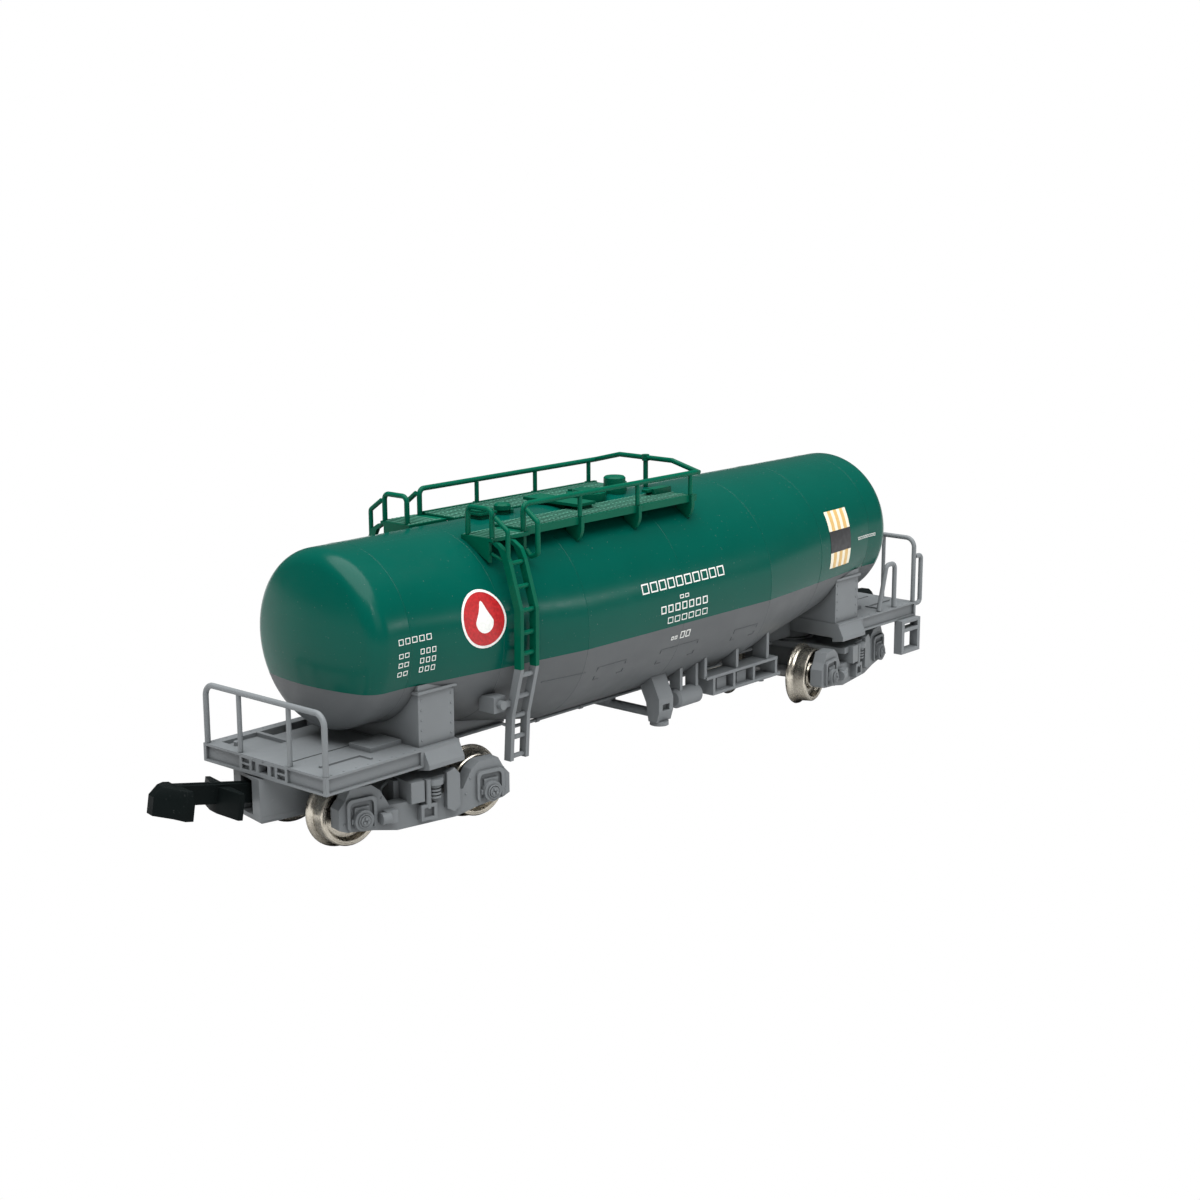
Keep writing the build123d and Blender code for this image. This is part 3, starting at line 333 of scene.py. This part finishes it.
def turned_metal(name, color, dark, rough, pitch, centre, axis):
    """Turned and plated metal: fine rings about an axis, with random stains, and painted shade that darkens
    its hollows.
    """
    material, tree, shader = new_material(name)
    coords = add_node(tree, "ShaderNodeTexCoord").outputs["Object"]
    offset = add_node(tree, "ShaderNodeVectorMath", {1: Vector(centre) * MM}, operation="SUBTRACT")
    tree.links.new(coords, offset.inputs[0])
    across = add_node(tree, "ShaderNodeVectorMath", {1: Vector(axis)}, operation="CROSS_PRODUCT")
    tree.links.new(offset.outputs[0], across.inputs[0])
    distance = add_node(tree, "ShaderNodeVectorMath", operation="LENGTH")
    tree.links.new(across.outputs[0], distance.inputs[0])
    phase = add_node(tree, "ShaderNodeMath", {1: 2 * math.pi / (pitch * MM)}, operation="MULTIPLY")
    tree.links.new(distance.outputs["Value"], phase.inputs[0])
    wave = add_node(tree, "ShaderNodeMath", operation="SINE")
    tree.links.new(phase.outputs[0], wave.inputs[0])
    stain = spread(tree, noise(tree, coords, 1.4, 3.0), 0.4, 0.75, 0.0, 0.6)
    tint = blend_colors(tree, stain, color, dark)
    # painted shade: ambient occlusion darkens the colour towards half the dark tone in hollows and between
    # parts
    painted_hollow_shade = add_node(tree, "ShaderNodeAmbientOcclusion", {"Distance": 0.9 * MM}, samples=6)
    tint = blend_colors(tree, spread(tree, painted_hollow_shade.outputs["AO"], 0.25, 0.8), scaled(dark, 0.5), tint)
    tree.links.new(tint, shader.inputs["Base Color"])
    shader.inputs["Metallic"].default_value = 1.0
    sheen = spread(tree, noise(tree, coords, 0.4, 3.0), *NOISE_RANGE, *rough)
    tree.links.new(sheen, shader.inputs["Roughness"])
    rounding = add_node(tree, "ShaderNodeBevel", {"Radius": 0.06 * MM}, samples=4)
    bump = add_node(tree, "ShaderNodeBump", {"Strength": 0.35, "Distance": 0.01 * MM})
    tree.links.new(wave.outputs[0], bump.inputs["Height"])
    tree.links.new(rounding.outputs["Normal"], bump.inputs["Normal"])
    tree.links.new(bump.outputs["Normal"], shader.inputs["Normal"])
    return material


GREEN = (0.0, 0.076, 0.055)
LIGHT_GREEN = (0.0, 0.098, 0.055)
PALE_GREEN = (0.06, 0.21, 0.15)
GREY = (0.165, 0.178, 0.186)

COUPLER_BLACK = (0.004, 0.006, 0.006)
BUSH_BLACK = (0.008, 0.008, 0.009)

MATERIALS = {
    "tank_green": moulded(
        "tank_green", GREEN, rough=(0.2, 0.26),
        mottle=0.04, dust=0.12, edge=0.05, grain=0.1, specular=0.12,
    ),
    "fittings_green": moulded(
        "fittings_green", LIGHT_GREEN, rough=(0.3, 0.4),
        mottle=0.06, dust=0.0, edge=0.06, grain=0.25, specular=0.08,
    ),
    "grating_green": moulded(
        "grating_green", PALE_GREEN, rough=(0.4, 0.5),
        mottle=0.06, dust=0.0, edge=0.04, grain=0.25, specular=0.3,
    ),
    "tank_grey": moulded(
        "tank_grey", scaled(GREY, 0.6), rough=(0.42, 0.52),
        mottle=0.05, dust=0.1, edge=0.05, grain=0.3, specular=0.2,
    ),
    "frame_grey": moulded(
        "frame_grey", scaled(GREY, 1.12), rough=(0.42, 0.54),
        mottle=0.06, dust=0.1, edge=0.06, grain=0.3, specular=0.25,
    ),
    # painted light: bogie grey is the shared grey lightened by 1.05, standing in for light bounced up onto
    # the bogie's faces
    "bogie_grey": moulded(
        "bogie_grey", scaled(GREY, 1.05), rough=(0.42, 0.55),
        mottle=0.07, dust=0.1, edge=0.08, grain=0.35, specular=0.25,
    ),
    "coupler_black": moulded(
        "coupler_black", COUPLER_BLACK, rough=(0.42, 0.55),
        mottle=0.15, dust=0.05, edge=0.08, grain=0.4, specular=0.04,
    ),
    "bush_black": moulded(
        "bush_black", BUSH_BLACK, rough=(0.5, 0.6),
        mottle=0.1, dust=0.0, edge=0.05, grain=0.3, specular=0.2,
    ),
}


def node_axis(direction):
    """Axis of the wheels of one bogie."""
    return bogie_place(direction).to_3x3() @ Vector((0, 1, 0))


def steel(name, color, centre, axis):
    return turned_metal(name, color, scaled(color, 0.6), (0.28, 0.4), 0.12, centre, axis)


SLOT_OF_NODE = {part["node"]: part["material_slot"] for part in frame["record"]["subparts"]}
NICKEL = (0.62, 0.58, 0.5)
DARK_NICKEL = (0.3, 0.27, 0.22)
AXLE_STEEL = (0.5, 0.5, 0.5)
PIN_STEEL = (0.42, 0.42, 0.43)

for node_name, node in nodes.items():
    slot = SLOT_OF_NODE[node_name]
    direction = -1 if node_name.endswith("left") else 1
    middle = (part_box(node_name)[0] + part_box(node_name)[1]) / (2 * MM)
    if slot in MATERIALS:
        material = MATERIALS[slot]
    elif slot == "wheel_nickel":
        axis = node_axis(direction)
        material = turned_metal(node_name, NICKEL, DARK_NICKEL, (0.2, 0.34), 0.16, middle, axis)
    elif slot == "axle_steel":
        material = steel(node_name, AXLE_STEEL, middle, node_axis(direction))
    else:
        material = steel(node_name, PIN_STEEL, middle, Vector((0, 0, 1)))
    for material_slot in node.material_slots:
        material_slot.material = material

# ---------------------------------------------------------------- the tank's two skins
DOME_X = 35.24
KNUCKLE_RADIUS = 1.85
KNUCKLE_CENTRE = TANK_END_RADIUS - KNUCKLE_RADIUS
CROWN_RADIUS = 20.916
CROWN_ANGLE = 17.77
TANK_HALF = 38.0
SKIN_STEPS = 96
KNUCKLE_STEPS = 12
MERGE_DISTANCE = 0.0005
FLANK_X = (0.0, 6.7, 17.0, 21.0, 25.0, 29.0, 34.2)
CROWN_RADII = (6.0, 5.5, 5.0, 4.6, 4.2, 3.95, 3.75, 3.62, 3.55)
POLE_RADII = (3.0, 2.4, 1.8, 1.2, 0.6, 0.2, 0.0)


def tank_stations():
    """(x, radius) stations from the middle of the tank to the top of its right-hand dome."""
    kinks = [kink + step for kink in (TANK_MID_X, TANK_CONE_X) for step in (-0.1, 0.0, 0.1)]
    rows = sorted((x, tank_radius(x)) for x in [*FLANK_X, DOME_X, *kinks])
    for step in range(1, KNUCKLE_STEPS + 1):
        angle = math.radians(90 + (CROWN_ANGLE - 90) * step / KNUCKLE_STEPS)
        x = DOME_X + KNUCKLE_RADIUS * math.cos(angle)
        rows.append((x, KNUCKLE_CENTRE + KNUCKLE_RADIUS * math.sin(angle)))
    # one station lies where the line between the halves crosses the dome
    pole_height = TANK_TOP - TANK_END_RADIUS - TANK_SPLIT
    crown = [*CROWN_RADII, pole_height, *POLE_RADII]
    start = TANK_HALF - CROWN_RADIUS
    rows += [(start + math.sqrt(CROWN_RADIUS ** 2 - radius ** 2), radius) for radius in crown]
    return rows


def tank_skin(name, upper):
    """Outer skin of the tank above or below the line where its two halves meet."""
    half = tank_stations()
    stations = [(-x, radius) for x, radius in reversed(half[1:])] + half
    bm = bmesh.new()
    rows = []
    for x, radius in stations:
        middle = TANK_TOP - min(max(radius, TANK_END_RADIUS), TANK_MID_RADIUS)
        level = (TANK_SPLIT - middle) / max(radius, 0.001)
        if not upper and level < -1.0:
            continue
        start = math.asin(max(level, -1.0))
        sweep = math.pi - 2 * start if upper else -math.pi - 2 * start
        turn = [start + sweep * i / SKIN_STEPS for i in range(SKIN_STEPS + 1)]
        arc = [(x, radius * math.cos(a), middle + radius * math.sin(a)) for a in turn]
        rows.append(add_ring(bm, arc))
    for row_a, row_b in zip(rows, rows[1:]):
        bridge(bm, row_a, row_b, closed=False)
    bmesh.ops.remove_doubles(bm, verts=bm.verts, dist=MERGE_DISTANCE)
    finish = "tank_green" if upper else "tank_grey"
    skin = make_piece(name, bm, MATERIALS[finish], "body")
    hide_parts("tank_upper_shell" if upper else "tank_lower_shell")


tank_skin("tank_skin_upper", True)
tank_skin("tank_skin_lower", False)

# ---------------------------------------------------------------- printed markings on the tank
WHITE_INK = printed("white_ink", (0.86, 0.87, 0.84))
RED_INK = printed("red_ink", (0.52, 0.012, 0.016), speckle=0.35)
GOLD_INK = printed("gold_ink", (0.72, 0.47, 0.17), speckle=0.1)
CREAM_INK = printed("cream_ink", (0.87, 0.82, 0.66), speckle=0.05)
BLACK_INK = printed("black_ink", (0.012, 0.012, 0.015))
INK = 0.02                  # thickness of a print


def signs(bm, side, x, z, height, count, fill=0.74, stroke=0.1, lift=0.0):
    """Row of plain open boxes in place of a line of lettering."""
    pitch = (x[1] - x[0]) / count
    for k in range(count):
        left = x[0] + pitch * k
        right = left + pitch * fill
        for edge in (left, right - stroke):
            add_patch(bm, side, (edge, edge + stroke), (z, z + height), lift, 0.4)
        for edge in (z, z + height - stroke):
            add_patch(bm, side, (left + stroke, right - stroke), (edge, edge + stroke), lift, 0.4)


def circle(radius, count=64):
    """Outline of a disc."""
    turn = [2 * math.pi * i / count for i in range(count)]
    return [(radius * math.cos(a), radius * math.sin(a)) for a in turn]


def droplet(radius, tip, count=48):
    """Outline of a drop: round below, drawn to a point above."""
    outline = []
    for i in range(count):
        a = 2 * math.pi * i / count
        upper = max(0.0, math.sin(a))
        outline.append((radius * math.cos(a) * (1 - 0.35 * upper), radius * math.sin(a) + upper ** 6 * tip))
    return outline


BADGE_CENTRE = (-25.2, 18.0)
DROP_CENTRE = (-25.2, 17.8)
PANEL_X = (25.05, 29.1)
PANEL_BLACK_Z = (16.15, 18.35)
PANEL_BANDS = ((14.55, 16.15), (18.35, 20.3))
PANEL_STRIPES = 7
# lifts off the tank, so that each print lies over the one below it
LOW_LIFT = 0.01
MID_LIFT = 0.03
HIGH_LIFT = 0.05

for side_name, side in SIDES.items():
    bm = bmesh.new()
    add_disc(bm, side, BADGE_CENTRE, circle(2.42), LOW_LIFT)
    make_piece(f"badge_rim_{side_name}", bm, WHITE_INK, "body", thickness=INK)
    bm = bmesh.new()
    add_disc(bm, side, BADGE_CENTRE, circle(2.2), MID_LIFT)
    make_piece(f"badge_disc_{side_name}", bm, RED_INK, "body", thickness=INK)
    bm = bmesh.new()
    add_disc(bm, side, DROP_CENTRE, droplet(0.95, 0.75), HIGH_LIFT)
    make_piece(f"badge_drop_{side_name}", bm, WHITE_INK, "body", thickness=INK)

    bm = bmesh.new()
    signs(bm, side, (-34.4, -30.7), 17.3, 0.5, 5, 0.7, 0.06)
    for z in (16.2, 15.42, 14.64):
        signs(bm, side, (-34.4, -33.1), z, 0.4, 2, 0.72, 0.06)
        signs(bm, side, (-32.1, -30.3), z, 0.46, 3, 0.66, 0.06)
    signs(bm, side, (-5.9, 6.4), 17.05, 0.92, 10, 0.78, 0.12)
    signs(bm, side, (-0.75, 0.75), 15.9, 0.36, 2, 0.76, 0.08)
    signs(bm, side, (-3.5, 3.6), 14.85, 0.72, 7, 0.7, 0.11)
    signs(bm, side, (-2.5, 3.6), 13.8, 0.6, 6, 0.74, 0.08)
    signs(bm, side, (30.7, 34.3), 16.7, 0.3, 8, 0.72, 0.05)
    make_piece(f"marking_{side_name}", bm, WHITE_INK, "body", thickness=INK)
    bm = bmesh.new()
    signs(bm, side, (-1.5, -0.5), 12.0, 0.35, 2, 0.7, 0.07)
    signs(bm, side, (-0.2, 1.4), 11.95, 0.7, 2, 0.75, 0.09)
    make_piece(f"marking_low_{side_name}", bm, WHITE_INK, "body", thickness=INK)

    bm = bmesh.new()
    add_patch(bm, side, PANEL_X, PANEL_BLACK_Z, LOW_LIFT)
    make_piece(f"panel_black_{side_name}", bm, BLACK_INK, "body", thickness=INK)
    bm = bmesh.new()
    for band in PANEL_BANDS:
        add_patch(bm, side, PANEL_X, band, LOW_LIFT)
    make_piece(f"panel_cream_{side_name}", bm, CREAM_INK, "body", thickness=INK)
    bm = bmesh.new()
    stripe = (PANEL_X[1] - PANEL_X[0]) / PANEL_STRIPES
    for band in PANEL_BANDS:
        for k in range(1, PANEL_STRIPES - 1, 2):
            add_patch(bm, side, (PANEL_X[0] + k * stripe, PANEL_X[0] + (k + 1) * stripe), band, MID_LIFT)
    make_piece(f"panel_stripes_{side_name}", bm, GOLD_INK, "body", thickness=INK)

# ---------------------------------------------------------------- welds and card holders on the tank
WELD_WIDTH = 0.12
WELD_HEIGHT = 0.02
WELD_X = (-33.0, -23.2, -13.4, 0.0, 13.4, 23.2, 33.0)
WELD_GAP = 0.002            # angle between a bead's end and the line between the halves
WELD_PROFILE = (
    (-1, -0.05), (-1, 0.0), (-0.5, WELD_HEIGHT * 0.8), (0, WELD_HEIGHT),
    (0.5, WELD_HEIGHT * 0.8), (1, 0.0), (1, -0.05),
)


def add_weld(bm, x, start, end, steps=96):
    """Low rounded bead round the tank between two angles."""
    rings = []
    for i in range(steps + 1):
        angle = start + (end - start) * i / steps
        rings.append(add_ring(bm, [
            tank_point(x + dx * WELD_WIDTH / 2, angle, lift) for dx, lift in WELD_PROFILE
        ]))
    for ring_a, ring_b in zip(rings, rings[1:]):
        bridge(bm, ring_a, ring_b)
    bm.faces.new(rings[0])
    bm.faces.new(rings[-1])


upper = bmesh.new()
lower = bmesh.new()
for x in WELD_X:
    level = math.asin((TANK_SPLIT - TANK_TOP + tank_radius(x)) / tank_radius(x))
    add_weld(upper, x, level + WELD_GAP, math.pi - level - WELD_GAP)
    add_weld(lower, x, level - WELD_GAP, -math.pi - level + WELD_GAP)
make_piece("welds_upper", upper, MATERIALS["tank_green"], "body")
make_piece("welds_lower", lower, MATERIALS["tank_grey"], "body")

FLANK_LINE = ((-18.0, 11.1), (-13.0, 11.1))
CARD_LIP = 0.35
CARD_FRAMES = ((-11.4, -7.5, 10.05, 11.25), (-2.5, 3.0, 9.75, 11.2), (8.7, 12.3, 10.0, 11.1))


def add_flank_bar(bm, side, points, width=0.055, steps=10):
    """Thin raised line on a flank through (x, z) points."""
    path = []
    for (x0, z0), (x1, z1) in zip(points, points[1:]):
        for i in range(steps):
            path.append(side_point(side, x0 + (x1 - x0) * i / steps, z0 + (z1 - z0) * i / steps, 0.0))
    path.append(side_point(side, *points[-1], 0.0))
    add_tube(bm, path, width, 8)


bm = bmesh.new()
for side in SIDES.values():
    for x0, x1, z0, z1 in CARD_FRAMES:
        add_flank_bar(bm, side, ((x0, z1 - CARD_LIP), (x0, z1), (x1, z1), (x1, z1 - CARD_LIP)))
        add_flank_bar(bm, side, ((x0, z0 + CARD_LIP), (x0, z0), (x0 + 2 * CARD_LIP, z0)))
        add_flank_bar(bm, side, ((x1, z0 + CARD_LIP), (x1, z0), (x1 - 2 * CARD_LIP, z0)))
    add_flank_bar(bm, side, FLANK_LINE)
make_piece("card_frames", bm, MATERIALS["tank_grey"], "body")

# ---------------------------------------------------------------- gratings
GRATING_TOP = 24.45
LANDING_TOP = 24.3
BAR_PITCH = 0.52
BAR_WIDTH = 0.16
GRATING_X = (-18.05, 5.35)
GRATING_Y = (2.35, 6.1)
LANDING_X = (-22.65, -18.7)
LANDING_Y = (3.35, 6.8)
BEARER_Y = (2.42, 3.65, 4.85, 6.03)
BEARER_HALF = 0.07
GRATING_SINK = 0.05         # how far the bars reach into the plate


def add_bars(bm, x, y, z, side, pitch=BAR_PITCH):
    """Row of bars across a grating."""
    count = int((x[1] - x[0]) / pitch)
    for k in range(count):
        start = x[0] + 0.1 + k * pitch
        add_box(bm, (start, start + BAR_WIDTH), sorted((side * y[0], side * y[1])), z)


for side_name, side in SIDES.items():
    bm = bmesh.new()
    add_bars(bm, GRATING_X, GRATING_Y, (GRATING_TOP - GRATING_SINK, GRATING_TOP + 0.1), side)
    for y in BEARER_Y:
        edges = sorted((side * (y - BEARER_HALF), side * (y + BEARER_HALF)))
        add_box(bm, GRATING_X, edges, (GRATING_TOP - GRATING_SINK, GRATING_TOP + 0.07))
    make_piece(f"grating_{side_name}", bm, MATERIALS["grating_green"], "body", bevel=0.03)
    bm = bmesh.new()
    add_bars(bm, LANDING_X, LANDING_Y, (LANDING_TOP - GRATING_SINK, LANDING_TOP + 0.08), side)
    for y in (LANDING_Y[0] + BEARER_HALF, LANDING_Y[1] - BEARER_HALF):
        edges = sorted((side * (y - BEARER_HALF), side * (y + BEARER_HALF)))
        add_box(bm, LANDING_X, edges, (LANDING_TOP - GRATING_SINK, LANDING_TOP + 0.06))
    landing = f"landing_grating_{side_name}"
    make_piece(landing, bm, MATERIALS["grating_green"], "body", bevel=0.03)

# ---------------------------------------------------------------- bogie details
BOLT_FACE_Y = 8.22
BOLT_CIRCLE = 0.2
BOLT_PROFILE = ((0.12, 0.0), (0.12, 0.1), (0.08, 0.14))
COVER_RING_Y = 8.12
COVER_RING_RADIUS = 0.55
COVER_RING_STEPS = 28

for end_name, direction in ENDS.items():
    place = bogie_place(direction)
    bm = bmesh.new()
    for side in SIDES.values():
        for x in (-AXLE_X, AXLE_X):
            for k in range(3):
                a = math.radians(90 + 120 * k)
                foot = (x + BOLT_CIRCLE * math.cos(a), side * BOLT_FACE_Y, AXLE_Z + BOLT_CIRCLE * math.sin(a))
                add_lathe(bm, BOLT_PROFILE, place @ pointing(foot, (0, side, 0)), 12)
            ring = []
            for i in range(COVER_RING_STEPS):
                a = 2 * math.pi * i / COVER_RING_STEPS
                across = x + COVER_RING_RADIUS * math.cos(a)
                height = AXLE_Z + COVER_RING_RADIUS * math.sin(a)
                ring.append(place @ Vector((across, side * COVER_RING_Y, height)))
            add_tube(bm, ring, 0.07, 8, closed=True)
    make_piece(f"axlebox_bolts_{end_name}", bm, MATERIALS["bogie_grey"], f"bogie_{end_name}")

COUPLER_PIVOT = (-11.0, 0, 4.8)
COUPLER_TILT = 9.0
HEAD_BASE_Z = -1.75
HEAD_WAIST_Z = -0.2
HEAD_CREST_Z = 0.62
CREST_X = 7.9               # the crest narrows towards this line
SHOE_Y = 5.1
SHOE_WIDTH = 0.7
SHOE_OUTLINE = ((2.98, 2.5), (3.38, 2.5), (3.4, 3.2), (3.3, 3.95), (2.98, 3.95))
HANGER = ((3.1, 3.8), (3.0, 4.6), (2.3, 5.0))
ROD_PLACE = (3.05, 2.75)
FRAME_FACE_Y = 7.42
FRAME_RIVETS = ((3.9, 3.3), (4.35, 4.6), (7.75, 4.9), (7.9, 3.0))
POCKET_TOP = 6.45
HEADSTOCK_X = 42.57


def coupler_place(direction):
    """Placement of one coupler: its +X side is the nose."""
    turned = Matrix.Translation(COUPLER_PIVOT) @ Matrix.Rotation(math.pi, 4, "Z")
    return bogie_place(direction) @ turned @ Matrix.Rotation(math.radians(-COUPLER_TILT), 4, "Y")


BUMPER_OUTLINE = ((3.5, -3.1), (3.95, -3.1), (4.6, -0.6), (4.6, 0.6), (3.95, 3.1), (3.5, 3.1))
HEAD_OUTLINE = (
    (8.2, -0.5), (8.2, -1.5), (9.0, -1.5), (10.1, -0.7), (10.1, 0.3),
    (8.9, 1.6), (8.3, 2.6), (7.6, 2.6), (7.8, 0.5),
)


def add_hook(bm, place):
    """Head of the coupler: upright sides, with its front face falling back towards the top."""
    top = [(CREST_X + (x - CREST_X) * 0.72, y * 0.86) for x, y in HEAD_OUTLINE]
    base = add_ring(bm, [place @ Vector((x, y, HEAD_BASE_Z)) for x, y in HEAD_OUTLINE])
    waist = add_ring(bm, [place @ Vector((x, y, HEAD_WAIST_Z)) for x, y in HEAD_OUTLINE])
    crest = add_ring(bm, [place @ Vector((x, y, HEAD_CREST_Z)) for x, y in top])
    bm.faces.new(base)
    bm.faces.new(crest)
    bridge(bm, base, waist)
    bridge(bm, waist, crest)


def add_rivet(bm, origin, direction, radius=0.1, height=0.06, place=Matrix()):
    """Round rivet head standing on a face."""
    shoulder = (radius * 0.75, height * 0.8)
    profile = ((radius, -0.05), (radius, height * 0.35), shoulder, (radius * 0.3, height))
    add_lathe(bm, profile, place @ pointing(origin, direction), 10)


for end_name, direction in ENDS.items():
    place = bogie_place(direction)
    bm = bmesh.new()
    for end in (-1, 1):
        for side in SIDES.values():
            # brake shoe behind the tread, on its hanger, with the rod across
            inner_y = side * SHOE_Y - SHOE_WIDTH / 2
            face = Matrix(((end, 0, 0, 0), (0, 0, 1, inner_y), (0, 1, 0, 0), (0, 0, 0, 1)))
            add_prism(bm, SHOE_OUTLINE, SHOE_WIDTH, place @ face)
            hanger = [(end * x, side * SHOE_Y, z) for x, z in HANGER]
            add_tube(bm, [place @ Vector(point) for point in hanger], 0.14, 8)
        rod = [(end * ROD_PLACE[0], y, ROD_PLACE[1]) for y in (-SHOE_Y, SHOE_Y)]
        add_tube(bm, [place @ Vector(point) for point in rod], 0.16, 10)
    make_piece(f"brake_shoes_{end_name}", bm, MATERIALS["bogie_grey"], f"bogie_{end_name}")

    bm = bmesh.new()
    for end in (-1, 1):
        for side in SIDES.values():
            for x, z in FRAME_RIVETS:
                add_rivet(bm, (end * x, side * FRAME_FACE_Y, z), (0, side, 0), 0.11, 0.07, place)
    for x in (-12.2, -8.6):
        for y in (-1.8, 1.8):
            add_rivet(bm, (x, y, POCKET_TOP), (0, 0, 1), 0.13, 0.08, place)
    make_piece(f"bogie_rivets_{end_name}", bm, MATERIALS["bogie_grey"], f"bogie_{end_name}")

    nose = coupler_place(direction)
    bm = bmesh.new()
    add_lathe(bm, ((0.4, -1.3), (0.4, 1.3)), nose @ Matrix.Rotation(math.pi / 2, 4, "X"), 20)
    add_lathe(bm, ((0.55, -0.97), (0.6, -0.92), (0.6, 0.92), (0.55, 0.97)), nose, 20)
    add_box(bm, (0.0, 8.3), (-0.5, 0.5), (-0.97, 0.67), nose)
    add_box(bm, (0.9, 7.5), (-0.13, 0.13), (0.6, 0.75), nose)
    add_prism(bm, BUMPER_OUTLINE, 2.2, nose @ Matrix.Translation((0, 0, -1.72)))
    add_hook(bm, nose)
    piece = make_piece(
        f"coupler_look_{end_name}", bm, MATERIALS["coupler_black"],
        f"coupler_{end_name}", bevel=0.05,
    )
    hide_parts(f"coupler_{end_name}")

    # rivets of the saddle and of the deck
    bm = bmesh.new()
    for side in SIDES.values():
        for x in (-1.7, 1.7):
            for k in range(5):
                spot = (direction * BOGIE_X + x, side * 7.15, 8.7 + 0.85 * k)
                add_rivet(bm, spot, (0, side, 0), 0.1, 0.06)
        for k in range(8):
            spot = (direction * (32.6 + 1.3 * k), side * 7.35, DECK_TOP)
            add_rivet(bm, spot, (0, 0, 1), 0.09, 0.05)
        for y in (0.0, 1.3, 3.4, 4.6, 5.8):
            add_rivet(bm, (direction * HEADSTOCK_X, side * y, 7.98), (direction, 0, 0), 0.08, 0.05)
    make_piece(f"frame_rivets_{end_name}", bm, MATERIALS["frame_grey"], "body")

# ---------------------------------------------------------------- brake pipe under the tank
bm = bmesh.new()
PIPE_Y = 1.75
PIPE_LOW = 5.33
PIPE_HIGH = 5.95
PIPE_LINE = (
    (-24.0, PIPE_HIGH), (-16.6, PIPE_HIGH), (-15.4, PIPE_LOW),
    (15.4, PIPE_LOW), (16.6, PIPE_HIGH), (24.0, PIPE_HIGH),
)
for side in SIDES.values():
    # the far pipe is the shorter one
    line = PIPE_LINE if side < 0 else PIPE_LINE[1:-1]
    add_tube(bm, [(x, side * PIPE_Y, z) for x, z in line], 0.17, 10)
    for x in (-12.0, -6.0, 6.0, 12.0):
        clamp = [(x + dx, side * PIPE_Y, PIPE_LOW) for dx in (-0.2, 0.2)]
        add_tube(bm, clamp, 0.25, 10)
        add_tube(bm, [(x, side * PIPE_Y, PIPE_LOW), (x, side * (PIPE_Y + 0.1), 5.85)], 0.1, 8)
make_piece("brake_pipes", bm, MATERIALS["frame_grey"], "body")

# ---------------------------------------------------------------- floor, light and camera
def look_at(thing, target):
    thing.rotation_euler = (Vector(target) - thing.location).to_track_quat("-Z", "Y").to_euler()


bm = bmesh.new()
bmesh.ops.create_grid(bm, x_segments=2, y_segments=2, size=6.0)
floor_mesh = bpy.data.meshes.new("floor")
bm.to_mesh(floor_mesh)
bm.free()
floor_material, floor_tree, floor_shader = new_material("floor")
floor_coords = add_node(floor_tree, "ShaderNodeTexCoord").outputs["Object"]
floor_cloud = spread(floor_tree, noise(floor_tree, floor_coords, 30.0), *NOISE_RANGE)
floor_tint = blend_colors(floor_tree, floor_cloud, (0.64, 0.64, 0.64), (0.67, 0.67, 0.67))
floor_tree.links.new(floor_tint, floor_shader.inputs["Base Color"])
floor_shader.inputs["Roughness"].default_value = 0.9
floor_shader.inputs["Specular IOR Level"].default_value = 0.1
floor_mesh.materials.append(floor_material)
floor = bpy.data.objects.new("floor", floor_mesh)
bpy.context.scene.collection.objects.link(floor)
floor.visible_camera = False

world = bpy.data.worlds.new("studio")
world.use_nodes = True
backdrop = world.node_tree.nodes["Background"]
backdrop.inputs["Color"].default_value = (1.0, 1.0, 1.0, 1.0)
light_path = add_node(world.node_tree, "ShaderNodeLightPath")
strength = spread(world.node_tree, light_path.outputs["Is Camera Ray"], 0, 1, 0.13, 1.0)
world.node_tree.links.new(strength, backdrop.inputs["Strength"])
bpy.context.scene.world = world
bpy.context.scene.view_settings.view_transform = "Standard"


def add_light(name, kind, position, glossy_only=False, **properties):
    """Adds a light that points at the middle of the wagon."""
    light = bpy.data.lights.new(name, kind)
    for key, value in properties.items():
        setattr(light, key, value)
    lamp = bpy.data.objects.new(name, light)
    lamp.location = position
    look_at(lamp, (0.0, 0.0, 0.012))
    lamp.visible_diffuse = not glossy_only
    bpy.context.scene.collection.objects.link(lamp)


add_light("sky", "SUN", (-0.1, -0.12, 1.0), energy=5.7, angle=math.radians(75))
add_light(
    "front", "AREA", (-0.2, -0.75, 0.4),
    energy=0.62, shape="RECTANGLE", size=0.5, size_y=0.35,
)
add_light(
    "strip_high", "AREA", (-0.2, -0.45, 0.39), glossy_only=True,
    energy=0.25, shape="RECTANGLE", size=0.012, size_y=0.09,
)
add_light(
    "strip_low", "AREA", (0.37, -0.43, 0.125), glossy_only=True,
    energy=0.2, shape="RECTANGLE", size=0.12, size_y=0.008,
)

CAMERA_PLACE = Vector((-0.141735, -0.123328, 0.055323))
CAMERA_YAW = math.radians(41.257)
CAMERA_PITCH = math.radians(-12.315)
CAMERA_ROLL = math.radians(-0.198)
forward = Vector((
    math.cos(CAMERA_PITCH) * math.cos(CAMERA_YAW),
    math.cos(CAMERA_PITCH) * math.sin(CAMERA_YAW),
    math.sin(CAMERA_PITCH),
))
lens = bpy.data.cameras.new("camera")
lens.lens = 60.25
lens.sensor_width = 36.0
lens.clip_start = 0.01
lens.clip_end = 30.0
camera = bpy.data.objects.new("camera", lens)
camera.location = CAMERA_PLACE
level_view = forward.to_track_quat("-Z", "Y").to_matrix()
camera.rotation_euler = (level_view @ Matrix.Rotation(CAMERA_ROLL, 3, "Z")).to_euler()
bpy.context.scene.collection.objects.link(camera)
bpy.context.scene.camera = camera
